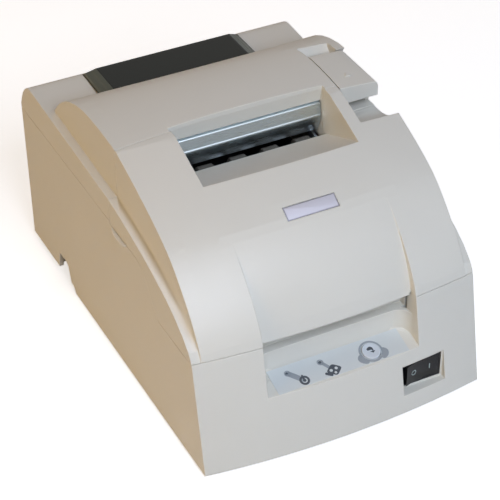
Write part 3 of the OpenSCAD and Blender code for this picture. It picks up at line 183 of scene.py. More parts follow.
# Aluminium sheet, brushed and anodised, and its rim, left as pressed
badge_face = finish_of("anodised_aluminium_badge", "b3b2bd", 0.5, metallic=0.6, grain_mm=0.3, bump=0.003,
                       stretch=(0.03, 1, 1))
badge_edge = finish_of("aluminium_badge_rim", "8f8f98", 0.36, metallic=0.9, grain_mm=0.3, bump=0.003)
# Die cast aluminium, anodised black
head_black = finish_of("aluminium_black_anodised", "26272a", 0.45, metallic=0.6, grain_mm=0.6, bump=0.006)
# Steel bar, ground and blackened
iron_black = finish_of("steel_bar_black_oxide", "2c2c2e", 0.42, metallic=0.7, grain_mm=0.8, bump=0.004)
# Deep drawn steel can, zinc plated
motor_can = finish_of("motor_can_zinc", "8e9093", 0.34, metallic=1.0, grain_mm=2.0, bump=0.003)
# Brass, turned on a lathe
brass = finish_of("brass_turned", "c8a860", 0.26, metallic=1.0, grain_mm=0.3, bump=0.002, stretch=(0.1, 1, 1))
# Copper alloy contacts, stamped, with a flash of gold
gold_plate = finish_of("contact_gold_flash", "d8b45a", 0.24, metallic=1.0, grain_mm=0.5, bump=0.002)
# Acetal, injection moulded
nylon = finish_of("acetal_moulded_gear", "e8e6dc", 0.36, grain_mm=0.8, bump=0.004)
# Solder resist over glass fibre board
mask_green = finish_of("solder_resist_green", "1c5a38", 0.3, grain_mm=1.5, bump=0.004, tint=0.06)
# Nylon, woven and inked
ribbon_cloth = finish_of("nylon_ribbon_inked", "2a2038", 0.7, grain_mm=0.3, bump=0.02)
# Polyester film laminated over flat wires
cable_film = finish_of("flat_cable_film", "dcdccf", 0.35, grain_mm=1.0, bump=0.01, stretch=(1, 0.02, 0.02))
# ABS, moulded blue
knob_blue = finish_of("abs_moulded_knob", "34466f", 0.42, grain_mm=0.5, bump=0.006)

worn_by = {
    cream_abs: ["lower_case", "front_cover", "roll_cover", "cover_lever"],
    smoked: ["roll_window"], badge_face: ["badge_plate"], overlay_film: ["panel_overlay"],
    key_plastic: ["feed_button"], lens: ["indicator_lights"],
    black_abs: ["power_switch_body", "power_rocker", "carriage", "roll_bin",
                "near_end_lever", "ribbon_cassette", "power_inlet", "drawer_socket", "board_parts"],
    guide_grey: ["paper_chute"], knob_blue: ["ribbon_knob"],
    black_rubber: ["rubber_feet", "feed_rollers", "timing_belt", "pinch_rollers"],
    zinc_sheet: ["base_plate", "left_side_frame", "right_side_frame", "frame_tie_bar", "guide_rail",
                 "pinch_bracket", "connector_plate", "interface_connector"],
    brushed_strip: ["tear_plate"],
    ground_steel: ["base_screws", "carriage_shaft", "feed_shaft", "pinch_shaft", "idler_stud", "lever_pin",
                   "lever_spring", "front_hinge_pins", "rear_hinge_pins"],
    iron_black: ["platen"], head_black: ["print_head", "head_heat_sink"],
    motor_can: ["carriage_motor", "feed_motor"], brass: ["drive_pulley", "motor_pinion"],
    nylon: ["idler_pulley", "idler_gear", "feed_gear"], mask_green: ["main_board", "control_board"],
    ribbon_cloth: ["ribbon_strip"], cable_film: ["head_cable"],
}
for material, names in worn_by.items():
    for name in names:
        data = nodes[name].data
        data.materials.clear()
        data.materials.append(material)


# ---------------------------------------------------------------- shapes

def quads(n, m, round_u=False, round_v=False):
    """Faces of an n by m grid of points; round_u or round_v joins its last row or column to the first."""
    i = np.arange(n if round_u else n - 1)[:, None]
    j = np.arange(m if round_v else m - 1)[None, :]
    i2, j2 = (i + 1) % n, (j + 1) % m
    return np.stack([i * m + j, i2 * m + j, i2 * m + j2, i * m + j2], -1).reshape(-1, 4)


class Axes:
    """A local frame in mm: a point (a, b, c) lies at origin + a X + b Y + c Z."""
    def __init__(self, origin, x=(1, 0, 0), y=(0, 1, 0)):
        self.o = np.array(origin, float)
        x, y = np.array(x, float), np.array(y, float)
        self.m = np.stack([x, y, np.cross(x, y)])

    def __call__(self, p):
        return self.o + np.asarray(p, float) @ self.m


WORLD = Axes((0, 0, 0))


def lathe(profile, n=48, at=WORLD):
    """Turned form: each profile point (r, h) goes round the local Z axis, to (r cos a, r sin a, h)."""
    p = np.array(profile, float)
    a = np.linspace(0, 2 * np.pi, n, endpoint=False)
    r, h = np.broadcast_to(p[:, 0, None], (len(p), n)), np.broadcast_to(p[:, 1, None], (len(p), n))
    return at(np.stack([r * np.cos(a), r * np.sin(a), h], -1).reshape(-1, 3)), quads(len(p), n, round_v=True)


def shrunk(outline, d):
    """A closed outline moved inwards by d along the mean normal of its two edges at each point."""
    p = np.array(outline, float)
    e = np.roll(p, -1, 0) - p
    e /= np.linalg.norm(e, axis=1)[:, None]
    n = np.stack([-e[:, 1], e[:, 0]], 1)
    m = n + np.roll(n, 1, 0)
    m /= np.maximum((m * m).sum(1) / 2, 0.3)[:, None]
    return p + d * m


def slab(outline, h0, h1, ease=0.1, at=WORLD, steps=3):
    """Plate of a closed counter-clockwise outline between heights h0 and h1, its rims quarter rounds of
    radius ease."""
    q = np.linspace(0, np.pi / 2, steps + 1)
    rows = [(ease * (1 - np.sin(t)), h0 + ease * (1 - np.cos(t))) for t in q]
    rows += [(ease * (1 - np.cos(t)), h1 - ease * (1 - np.sin(t))) for t in q]
    n = len(outline)
    p = np.concatenate([np.c_[shrunk(outline, d), np.full(n, h)] for d, h in rows])
    f = [tuple(q[::-1]) for q in quads(len(rows), n, round_v=True).tolist()]
    f += [tuple(range(n))[::-1], tuple(range((len(rows) - 1) * n, len(rows) * n))]
    return at(p), f


def round_corners(outline, r, n=5):
    """Replaces each corner of a closed outline by an arc of radius r: the arc is a quadratic curve
    from r before the corner to r after it, pulled to the corner."""
    p = np.array(outline, float)
    out = []
    for a, b, c in zip(np.roll(p, 1, 0), p, np.roll(p, -1, 0)):
        u, v = a - b, c - b
        u *= min(r / np.linalg.norm(u), 0.49)
        v *= min(r / np.linalg.norm(v), 0.49)
        t = np.linspace(0, 1, n)[:, None]
        out.append(b + (1 - t) ** 2 * u + t ** 2 * v)
    return np.concatenate(out)


def disc(x, y, r, n=32):
    """Outline of a circle of radius r about (x, y)."""
    a = np.linspace(0, 2 * np.pi, n, endpoint=False)
    return np.c_[x + r * np.cos(a), y + r * np.sin(a)]


def capsule(p, q, r, n=12):
    """Outline of a bar of half width r from p to q with round ends."""
    p, q = np.array(p, float), np.array(q, float)
    s = math.atan2(*(q - p)[::-1])
    a = np.linspace(-np.pi / 2, np.pi / 2, n)
    return np.concatenate([q + r * np.c_[np.cos(s + a), np.sin(s + a)],
                           p - r * np.c_[np.cos(s + a), np.sin(s + a)]])


def band(centre, r0, r1, a0, a1, h0, h1, at=WORLD, n=40):
    """Part of a flat ring between radii r0 and r1, angles a0 and a1 in degrees and heights h0 and h1: a
    rectangle carried along the arc."""
    full = abs(a1 - a0) >= 360
    a = np.radians(np.linspace(a0, a1, n, endpoint=not full))
    sec = [(r0, h0), (r1, h0), (r1, h1), (r0, h1)]
    p = np.stack([np.stack([centre[0] + r * np.cos(a), centre[1] + r * np.sin(a), np.full(n, h)], -1)
                  for r, h in sec], 1).reshape(-1, 3)
    f = [tuple(q) for q in quads(n, 4, round_u=full, round_v=True).tolist()]
    if not full:
        f += [(0, 1, 2, 3), tuple(range(4 * n - 1, 4 * n - 5, -1))]
    return at(p), f


def sweep(path, section, up=(0, 0, 1), closed=False, ends=True):
    """A section of (side, up) points carried along a path: at each point the section lies across the path's
    direction t, its side axis t x up and its up axis side x t."""
    p = np.array(path, float)
    t = np.roll(p, -1, 0) - np.roll(p, 1, 0) if closed else np.gradient(p, axis=0)
    t /= np.linalg.norm(t, axis=1)[:, None]
    side = np.cross(t, np.broadcast_to(np.array(up, float), t.shape))
    side /= np.linalg.norm(side, axis=1)[:, None]
    u = np.cross(side, t)
    s = np.array(section, float)
    v = (p[:, None] + side[:, None] * s[None, :, 0, None] + u[:, None] * s[None, :, 1, None]).reshape(-1, 3)
    n, m = len(p), len(s)
    f = [tuple(q[::-1]) for q in quads(n, m, round_u=closed, round_v=True).tolist()]
    if ends and not closed:
        f += [tuple(range(m)), tuple(range(n * m - m, n * m))[::-1]]
    return v, f


def joined(*forms):
    """Several (points, faces) forms as one."""
    points, faces, at = [], [], 0
    for p, f in forms:
        points.append(np.asarray(p, float))
        faces += [tuple(int(i) + at for i in q) for q in (f.tolist() if hasattr(f, "tolist") else f)]
        at += len(p)
    return np.concatenate(points), faces


def piece(name, form, material, body, stands_for=(), smooth_deg=30):
    """Makes the object from points in mm, closes its poles and seams, turns its faces outwards and lets it
    ride on body. stands_for lists the CAD nodes that it replaces."""
    mesh = bpy.data.meshes.new(name)
    points, faces = form
    mesh.from_pydata((np.asarray(points) * MM).tolist(), [], [tuple(int(i) for i in q) for q in faces])
    b = bmesh.new()
    b.from_mesh(mesh)
    bmesh.ops.remove_doubles(b, verts=b.verts, dist=1e-7)
    bmesh.ops.dissolve_degenerate(b, edges=b.edges, dist=1e-8)
    bmesh.ops.recalc_face_normals(b, faces=b.faces)
    b.to_mesh(mesh)
    b.free()
    mesh.materials.append(material)
    shade(mesh, smooth_deg)
    o = bpy.data.objects.new(name, mesh)
    bpy.context.scene.collection.objects.link(o)
    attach(o, body)
    if stands_for:
        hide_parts(*stands_for)
    return o


def shade(mesh, angle_deg):
    """Smooth shading with a crease wherever two faces meet at more than angle_deg."""
    mesh.polygons.foreach_set("use_smooth", np.ones(len(mesh.polygons), bool))
    mesh.set_sharp_from_angle(angle=math.radians(angle_deg))


# ---------------------------------------------------------------- shells

def skin(node, angle_deg=9):
    """The node's own surface as one merged sheet, so that its curves shade smoothly and its edges stay
    creased. At each point the larger faces count most, which keeps flat faces flat."""
    mesh = nodes[node].data.copy()
    b = bmesh.new()
    b.from_mesh(mesh)
    bmesh.ops.remove_doubles(b, verts=b.verts, dist=2e-6)
    b.to_mesh(mesh)
    b.free()
    shade(mesh, angle_deg)
    o = bpy.data.objects.new(node + "_shell", mesh)
    bpy.context.scene.collection.objects.link(o)
    even = o.modifiers.new("even", "WEIGHTED_NORMAL")
    even.keep_sharp = True
    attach(o, body_of[node])
    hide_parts(node)
    return o


for node in ("lower_case", "front_cover", "roll_cover", "cover_lever"):
    skin(node)
window = skin("roll_window").data
# the window's end faces take the paler sheet: painted light for the light that comes through them
window.materials.append(painted_backlight_end)
across = np.zeros(3 * len(window.polygons))
window.polygons.foreach_get("normal", across)
END_FACING = 0.4
window.polygons.foreach_set("material_index", (np.abs(across[::3]) > END_FACING).astype(np.int32))


# ---------------------------------------------------------------- control panel

TURN = math.radians(16)
PANEL_Y = (0, math.cos(TURN), math.sin(TURN))


def on_panel(u, v):
    """Axes on the sloping panel floor at u to the right and v up the slope."""
    return Axes(Axes((0, -94, 41), (1, 0, 0), PANEL_Y)((u, v, 0)), (1, 0, 0), PANEL_Y)


FLOOR = on_panel(0, 0)
KEY = (18.4, -9.6)
LAMPS = ((-28, -6.2), (-9.3, -6.2))
# Heights over the panel floor: the film's face, and the top of the grey and of the dark ink
FILM_TOP, GREY_TOP, DARK_TOP = 0.36, 0.44, 0.47
INK_EASE = 0.02

# Key cap: a turned form whose top is a shallow dish with a rolled rim
cap_rim = [(4.9 - 0.45 * (1 - math.cos(a)), 0.75 + 0.45 * math.sin(a))
           for a in np.linspace(0, math.pi / 2, 6)]
dish = [(r, 0.86 + 0.34 * (r / 4.1) ** 2) for r in (4.1, 3.4, 2.6, 1.7, 0.8, 0.0)]
piece("feed_key_cap", lathe([(0, -5.5), (1.5, -5.5), (1.5, -4.2), (6.1, -4.2), (6.1, -3.2), (4.9, -3.2)]
                            + cap_rim + dish, 72, on_panel(*KEY)),
      key_plastic, "button_body", ["feed_button"])
# Printed on the cap: a sheet with its corner turned and an arrow head below it
piece("feed_key_print", joined(
    slab(round_corners([(-1.9, 0.2), (0.5, 0.2), (0.5, -0.6), (1.3, -0.6), (1.3, 1.3), (0.3, 2.2),
                        (-1.0, 2.0), (-2.1, 1.2)], 0.35), 0.7, 1.0, INK_EASE, on_panel(18.5, -9.2)),
    slab([(-0.5, -0.9), (0.9, -2.1), (2.3, -0.9)], 0.7, 1.02, INK_EASE, on_panel(18.3, -9.0))),
      ink_dark, "button_body")

# Lamp lenses: rods with a domed end
dome = [(math.sin(a), 0.1 + 0.4 * math.cos(a)) for a in np.linspace(math.pi / 2, 0, 7)]
piece("lamp_lenses", joined(*[lathe([(0, -6.8), (1.0, -6.8), (1.0, -2)] + dome, 32, on_panel(*place))
                              for place in LAMPS]), lens, "base", ["indicator_lights"])

# Screen printing on the film: closed outlines raised by one ink layer
grey_marks = [
    band(LAMPS[0], 1.08, 1.75, 0, 360, FILM_TOP, GREY_TOP, FLOOR),
    slab(capsule((-27.2, -7.0), (-22.4, -12.2), 1.55), FILM_TOP, GREY_TOP, INK_EASE, FLOOR),
    band(LAMPS[1], 1.08, 1.75, 0, 360, FILM_TOP, GREY_TOP, FLOOR),
    slab(capsule((-8.4, -7.3), (-6.4, -10.4), 0.95), FILM_TOP, GREY_TOP, INK_EASE, FLOOR),
    band(KEY, 5.45, 6.5, 0, 360, FILM_TOP, GREY_TOP, FLOOR),
]
wing = [(-5.8, 0.4), (-7.5, -0.2), (-8.8, -1.8), (-8.6, -3.8), (-7.2, -5.4), (-5.0, -6.5), (-3.4, -5.6),
        (-4.6, -4.2), (-5.5, -2.4)]
for side in (1, -1):
    outline = np.array(wing) * (side, 1) + KEY
    grey_marks.append(slab(round_corners(outline[::side], 0.9), FILM_TOP, GREY_TOP + 0.005, INK_EASE, FLOOR))
piece("panel_print_grey", joined(*grey_marks), ink_grey, "base")
diamond = round_corners([(-4.6, 0.2), (0.1, -3.6), (4.6, 0.4), (0.1, 3.9)], 1.5)
dark_marks = [
    band((-21.6, -13.0), 1.55, 2.75, 0, 360, FILM_TOP, DARK_TOP, FLOOR),
    slab(disc(-21.6, -13.0, 0.9), FILM_TOP, DARK_TOP, INK_EASE, FLOOR),
    slab(capsule((-21.6, -12.6), (-21.6, -10.0), 0.5), FILM_TOP, DARK_TOP + 0.005, INK_EASE, FLOOR),
    slab(diamond + (-4.6, -12.9), FILM_TOP, DARK_TOP, INK_EASE, FLOOR),
    slab(capsule((-9.4, -13.6), (-7.2, -15.1), 0.8), FILM_TOP, DARK_TOP, INK_EASE, FLOOR),
]
piece("panel_print_dark", joined(*dark_marks), ink_dark, "base")
piece("panel_print_film", joined(*[slab(disc(u, v, r), 0.4, 0.5, 0.01, FLOOR) for u, v, r in
                                   ((-6.3, -12.6, 0.85), (-3.2, -12.2, 0.85), (-4.6, -14.5, 0.7))]),
      overlay_film, "base")


# ---------------------------------------------------------------- badge, lever mark, switch

tilt = math.radians(31)
badge = Axes((2.5, -65.5, 108.8), (1, 0, 0), (0, math.cos(tilt), math.sin(tilt)))


def plate_outline(w, h, r):
    """Outline of a w by h plate with corners of radius r."""
    return round_corners([(-w / 2, -h / 2), (w / 2, -h / 2), (w / 2, h / 2), (-w / 2, h / 2)], r, 7)


piece("badge_rim", slab(plate_outline(29.2, 7.6, 0.6), -0.4, 2.2, 0.25, badge), badge_edge,
      "front_cover_body", ["badge_plate"])
piece("badge_face", slab(plate_outline(27.9, 6.3, 0.4), 1.9, 2.24, 0.03, badge), badge_face,
      "front_cover_body")

# Rocker key: its face is two shallow dishes of depth dip that meet in a ridge on the pivot's line
half, dip = 10.1, 0.35
t = np.linspace(0, 1, 13)[:-1]
front = np.concatenate([np.c_[-half + half * t, -5.6 + 1.2 * t + dip * np.sin(np.pi * t)],
                        np.c_[half * t, -4.4 - 1.2 * t + dip * np.sin(np.pi * t)]])
section = np.concatenate([front, [(half, -5.6), (half, -2.2), (3, 1.5), (-3, 1.5), (-half, -2.2)]])
lean = math.radians(6)
rocker = Axes((45.6, -104.5, 0), (math.cos(lean), math.sin(lean), 0), (-math.sin(lean), math.cos(lean), 0))
piece("rocker_key", joined(slab(section, 13.9, 26.6, 0.3, rocker, 4),
                           lathe([(0, 12.75), (0.8, 12.75), (0.8, 27.75), (0, 27.75)], 24, rocker)),
      black_gloss, "rocker_body", ["power_rocker"])


def on_rocker(side):
    """Axes on the middle of one half of the rocker's face, Z towards the front."""
    slope = math.radians(6.8) * -side
    x = rocker((math.cos(slope), math.sin(slope), 0)) - rocker((0, 0, 0))
    return Axes(rocker((5.05 * side, -5.0 + dip, 20.4)), x, (0, 0, 1))


piece("rocker_marks", joined(band((0, 0), 1.1, 1.6, 0, 360, -0.3, 0.12, on_rocker(-1)),
                             slab(capsule((0, -1.4), (0, 1.4), 0.28), -0.3, 0.12, 0.02, on_rocker(1))),
      ink_white, "rocker_body")


# ---------------------------------------------------------------- finger tabs

def quarter_shell(centre, half, out, drop, side):
    """Nail-shaped tab under a seam: a point at angle a along it (0 to pi) and b down it (0 to pi/2) lies at
    (side out sin a cos b, half cos a, -sin a (0.8 cos b + drop sin b)) from the middle of its root. A back
    2.2 mm inside the wall closes it."""
    a = np.linspace(0, np.pi, 25)[:, None]
    b = np.linspace(0, np.pi / 2, 9)[None, :]
    skin_points = np.stack([side * out * np.sin(a) * np.cos(b), half * np.cos(a) + 0 * b,
                            -np.sin(a) * (0.8 * np.cos(b) + drop * np.sin(b))], -1)
    root = np.stack([0 * a[:, 0] - side * 2.2, half * np.cos(a[:, 0]), 0 * a[:, 0]], -1)[:, None]
    foot = root + np.stack([0 * a[:, 0], 0 * a[:, 0], -drop * np.sin(a[:, 0])], -1)[:, None]
    rows = np.concatenate([root, skin_points, foot], 1)
    return rows.reshape(-1, 3) + centre, quads(25, 11, round_v=True)


piece("finger_tabs", joined(*[quarter_shell((80 * s, -16, 87.3), 8.5, 2.0, 4.0, s) for s in (-1, 1)]),
      cream_abs, "base")


# ---------------------------------------------------------------- paper exit

def extruded(outline, x0, x1, ease=0.1, steps=3):
    """A closed (y, z) outline carried along X from x0 to x1, its end rims rounded by ease."""
    return slab(outline, x0, x1, ease, YZ, steps)


def along_x(y, z):
    """Axes with Z along X, its origin at y, z."""
    return Axes((0, y, z), (0, 1, 0), (0, 0, 1))


YZ = along_x(0, 0)


def folded(points, thick, r):
    """Sheet bent along a (y, z) line: each bend is eased over r, and the two faces lie half the sheet's
    thickness either side of the line."""
    p = np.array(points, float)
    line = np.concatenate([p[:1], round_corners(p, r, 7)[7:-7], p[-1:]])
    t = np.gradient(line, axis=0)
    t /= np.linalg.norm(t, axis=1)[:, None]
    n = np.stack([-t[:, 1], t[:, 0]], 1) * thick / 2
    return np.concatenate([line - n, (line + n)[::-1]])


# The cutter strip hangs behind the lip: it comes forward in a narrow shelf, slopes down to a small step that
# catches the light, and turns back towards the rollers
strip = folded([(1.85, 105.1), (0.1, 110.0), (-1.3, 115.3), (-0.85, 115.95), (0.0, 122.1), (2.25, 122.9),
                (2.25, 128.9)], 0.6, 0.35)
piece("tear_strip", extruded(strip, -43.95, 43.95, 0.1), brushed_strip, "roll_cover_body", ["tear_plate"],
      smooth_deg=12)
# Raised arrow head moulded on the lever's top, which slopes down to the right
lever_top = Axes((61.6, 3.2, 132.24), (1, 0, -0.078), (0, 1, 0.075))
piece("lever_arrow", slab(round_corners([(-1.9, -1.5), (1.9, -1.5), (0, 2.0)], 0.35), -0.3, 0.5, 0.1,
                          lever_top), cream_abs, "lever_body")


def ribbed_sleeve(r, bore, x0, x1, at, pitch=0.9, depth=0.18):
    """Moulded sleeve: a turned profile whose radius dips by depth once a pitch, with chamfered ends."""
    x = np.linspace(x0 + 0.4, x1 - 0.4, 61)
    wave = r - depth * (0.5 + 0.5 * np.cos(2 * np.pi * (x - x0) / pitch)) ** 3
    return lathe([(bore, x0), (r - 0.5, x0)] + list(zip(wave, x))
                 + [(r - 0.5, x1), (bore, x1), (bore, x0)], 48, at)


roller_x = [33.5, 14.5, -4.5, -23.5]
sleeve_half = 4.5
piece("pinch_sleeves", joined(*[ribbed_sleeve(5, 1.5, x - sleeve_half, x + sleeve_half, along_x(-0.5, 98))
                                for x in roller_x]),
      roller_rubber, "pinch_roller_body", ["pinch_rollers"])
piece("feed_sleeves", joined(*[ribbed_sleeve(6.3, 3, x - sleeve_half, x + sleeve_half, along_x(-12.05, 98))
                               for x in roller_x]),
      roller_rubber, "feed_roller_body", ["feed_rollers"])


# ---------------------------------------------------------------- underside

def foot(x, y, top):
    """Turned rubber foot: a ring stands on the table, its side has two grooves, or four on a tall foot, and
    its stem is pushed into the plate."""
    side = [(6.75, 0.55)]
    for h in np.linspace(0.9, top - 0.8, 2 if top < 5 else 4):
        side += [(6.75, h), (6.45, h + 0.2), (6.75, h + 0.4)]
    return lathe([(0, 0.6), (4.4, 0.6), (4.8, 0), (6.2, 0)] + side
                 + [(7, top - 0.3), (7, top), (2, top), (2, top + 2.1), (1.6, top + 2.5), (0, top + 2.5)], 48,
                 Axes((x, y, 0)))


piece("ribbed_feet", joined(*[foot(s * 62, y, h) for s in (-1, 1) for y, h in ((-96, 3), (88, 6.5))]),
      black_rubber, "base", ["rubber_feet"])


def plate_screw(x, y):
    """Pan head seen from below, with a cross recess: its face is at z = 2.1 + 0.35 (r / 3.2)^3, and 0.6
    deeper where a point lies near either arm of the cross. The radius of the shank above it ripples once a
    pitch along a helix."""
    r = np.array([0, 0.4, 0.8, 1.3, 1.8, 2.3, 2.8, 3.1, 3.2])[:, None]
    a = np.linspace(0, 2 * np.pi, 64, endpoint=False)[None, :]
    arm = np.minimum(abs(np.sin(a)), abs(np.cos(a))) * r
    deep = 0.6 * np.clip((0.5 - arm) / 0.15, 0, 1) * np.clip((1.9 - r) / 0.3, 0, 1)
    h = 2.1 + 0.35 * (r / 3.2) ** 3 + deep
    head = np.stack([r * np.cos(a), r * np.sin(a), h + 0 * a], -1).reshape(-1, 3)
    z = np.linspace(3.0, 13.6, 90)[:, None]
    thread = 1.42 + 0.18 * (0.5 + 0.5 * np.cos(2 * np.pi * z / 1.1 - a))
    shank = np.stack([thread * np.cos(a), thread * np.sin(a), z + 0 * a], -1).reshape(-1, 3)
    rows = np.concatenate([head, np.c_[3.2 * np.cos(a[0]), 3.2 * np.sin(a[0]), 3.0 + 0 * a[0]], shank,
                           np.c_[0 * a[0], 0 * a[0], 14 + 0 * a[0]]])
    return Axes((x, y, 0))(rows), quads(len(rows) // 64, 64, round_v=True)


piece("plate_screws", joined(*[plate_screw(s * 70, y) for s in (-1, 1) for y in (-88, 40)]),
      screw_zinc, "base", ["base_screws"])


# ---------------------------------------------------------------- rear connectors

def rear(x, y, z):
    """Axes on a rear face: X to the left, Y up, Z out of the back."""
    return Axes((x, y, z), (-1, 0, 0), (0, 0, 1))


PORT_X, PORT_Z = -8, 27.5
D_SHELL = round_corners([(-15.9, -2.85), (15.9, -2.85), (17.3, 2.85), (-17.3, 2.85)], 0.9)
piece("interface_insulator", slab(D_SHELL, 2.3, 6.12, 0.15, rear(PORT_X, 106, PORT_Z)), connector_blue,
      "base")
contacts = [(2.7 * i - 16.2, 1.3) for i in range(13)] + [(2.7 * i - 14.85, -1.3) for i in range(12)]
piece("interface_contacts", joined(*[band(c, 0.24, 0.62, 0, 360, 5.9, 6.2, rear(PORT_X, 106, PORT_Z), 12)
                                     for c in contacts]), gold_plate, "base")
post = [(1.15, 0), (1.15, 4.2), (1.5, 4.6), (2.45, 4.6), (2.75, 4.2), (2.75, 0), (1.15, 0)]
piece("interface_posts", joined(*[lathe(post, 6, rear(PORT_X + s * 21.3, 107.75, PORT_Z)) for s in (-1, 1)]),
      screw_zinc, "base")
piece("inlet_pins", joined(*[lathe([(0, 0), (0.78, 0), (0.78, 4.5), (0.45, 5.15), (0, 5.2)], 20,
                                   rear(38 + 3 * math.sin(a), 98, 28 + 3 * math.cos(a)))
                             for a in np.radians((0, 120, 240))]), gold_plate, "base")
piece("drawer_contacts", joined(*[slab(plate_outline(0.5, 5.2, 0.1), 0, 6.5, 0.1,
                                       rear(-44 + 1.27 * (i - 2.5), 98.2, 29.2)) for i in range(6)]),
      gold_plate, "base")


# ---------------------------------------------------------------- drive

def belt_form(x_end, y, z0, z1, r0, thick, pitch):
    """Toothed belt: the path is two half circles of radius r0 about x = +-x_end joined by straights. The belt
    is thick outwards of it, and its inner face carries half-round teeth once a pitch."""
    length = 4 * x_end + 2 * np.pi * r0
    n = int(round(length / pitch)) * 6
    s = np.linspace(0, length, n, endpoint=False)
    arc = np.pi * r0
    a = np.where(s < 2 * x_end, 0, np.where(s < 2 * x_end + arc, (s - 2 * x_end) / r0, np.pi))
    a = np.where(s > 4 * x_end + arc, np.pi + (s - 4 * x_end - arc) / r0, a)
    x = np.where(s < 2 * x_end, -x_end + s, np.where(s < 2 * x_end + arc, x_end,
                 np.where(s < 4 * x_end + arc, x_end - (s - 2 * x_end - arc), -x_end)))
    out = np.stack([np.sin(a), -np.cos(a)], -1)
    inner = r0 - 0.05 * np.clip(np.cos(2 * np.pi * s / (length / (n / 6))), 0, 1)
    outer = r0 + thick + 0 * s
    rows = [np.stack([x + out[:, 0] * d, y + out[:, 1] * d, h + 0 * s], -1)
            for d, h in ((inner, z0), (outer, z0), (outer, z1), (inner, z1))]
    return np.stack(rows, 1).reshape(-1, 3), quads(n, 4, round_u=True, round_v=True)


BELT_X, BELT_Y = 45, -62
piece("toothed_belt", belt_form(BELT_X, BELT_Y, 55.5, 61.5, 6.16, 1.14, 2.0), belt_rubber, "base",
      ["timing_belt"])


def can(r, length, at):
    """Turned motor can: rolled seams near both ends, a pressed boss and vent ring on its face."""
    return lathe([(0, 0), (r - 4.5, 0), (r - 4.2, 0.3), (r - 1.4, 0.3), (r - 0.5, 0), (r, 0.6), (r, 1.9),
                  (r - 0.25, 2.2), (r - 0.25, length - 2.2), (r, length - 1.9), (r, length - 0.5),
                  (r - 0.4, length), (0, length)], 72, at)


piece("belt_motor", joined(
    can(12, 24, Axes((-BELT_X, BELT_Y, 19.6))),
    slab(plate_outline(23, 20, 1.2), 43.6, 45.1, 0.12, Axes((-46.5, BELT_Y, 0))),
    lathe([(0, 42), (1.5, 42), (1.5, 63.2), (1.2, 63.5), (0, 63.5)], 32, Axes((-BELT_X, BELT_Y, 0))),
    *[lathe([(0, 45), (2.4, 45), (2.3, 45.9), (1.6, 46.3), (0, 46.3)], 24,
            Axes((-BELT_X + dx, BELT_Y + dy, 0)))
      for dx, dy in ((7.4, 6.4), (7.4, -6.4), (-7.4, 6.4), (-7.4, -6.4))]),
      motor_can, "base", ["carriage_motor"])
FEED_MOTOR = (17.057, 52.603)
piece("paper_motor", joined(
    can(13, 15, Axes((43, *FEED_MOTOR), (0, 1, 0), (0, 0, 1))),
    lathe([(0, 57.9), (3.9, 57.9), (3.9, 59.6), (1.5, 59.6), (1.5, 66.1), (1.2, 66.4), (0, 66.4)], 32,
          along_x(*FEED_MOTOR))), motor_can, "base", ["feed_motor"])


def wire_path(points, r, n=10):
    """Round wire along a path."""
    a = np.linspace(0, 2 * np.pi, n, endpoint=False)
    return sweep(points, np.c_[r * np.cos(a), r * np.sin(a)], up=(0.31, 0.2, 0.93))


COILS = 6
turns = np.linspace(0, 2 * np.pi * COILS, COILS * 28)
coil = np.c_[56.5 + 5 * turns / turns[-1], 17 + 2.32 * np.cos(turns), 122 - 2.32 * np.sin(turns)]
leg_down = np.c_[np.full(6, 56.5), np.full(6, 19.32), np.linspace(114.3, 121.5, 6)]
piece("wound_spring", wire_path(np.concatenate([leg_down, coil[:-3]]), 0.42),
      spring_wire, "roll_cover_body", ["lever_spring"])


# ---------------------------------------------------------------- board and cable

def ribbed_ribbon(path, width, wires, thick):
    """Flat cable: a thin strip across the path whose two faces swell once a wire."""
    u = np.linspace(-width / 2, width / 2, wires * 6 + 1)
    swell = thick / 2 * (0.45 + 0.55 * np.abs(np.cos(np.pi * (u / width * wires))))
    section = np.concatenate([np.c_[swell, u], np.c_[-swell[::-1], u[::-1]]])
    return sweep(path, section, up=(1, 0, 0))


def smooth_line(points, n):
    """Points spread evenly along an open line, its corners eased by a running mean."""
    p = np.array(points, float)
    s = np.r_[0, np.cumsum(np.linalg.norm(np.diff(p, axis=0), axis=1))]
    q = np.stack([np.interp(np.linspace(0, s[-1], n), s, p[:, k]) for k in range(3)], -1)
    for _ in range(12):
        q[1:-1] = (q[:-2] + q[1:-1] + q[2:]) / 3
    return q


cable = smooth_line([(0, y, z) for y, z in ((-78.2, 11.7), (-78.2, 40), (-76.3, 46.1), (-72, 49.2),
                                            (-52, 50.9), (-49, 52), (-47.7, 54.1))], 70)
piece("ribbed_cable", ribbed_ribbon(cable, 18, 14, 0.5), cable_film, "base", ["head_cable"])

BOARD_TOP = 11.6
capacitors = [(-37 + 11 * i, -88, 4, 11) for i in range(3)] + [(-22 + 14 * i, 12, 3.5, 9) for i in range(3)]


def capacitor(x, y, r, h):
    """Turned aluminium can in its sleeve: a crimp near the foot and a rolled top rim round a sunk vent."""
    return lathe([(0, 0), (r - 0.3, 0), (r, 0.4), (r, 1.3), (r - 0.45, 1.7), (r, 2.1), (r, h - 0.4),
                  (r - 0.35, h), (r - 0.8, h), (r - 1, h - 0.3), (0, h - 0.35)], 32, Axes((x, y, BOARD_TOP)))


piece("board_capacitors", joined(*[capacitor(*c) for c in capacitors]), sleeve_blue, "base", ["board_parts"])
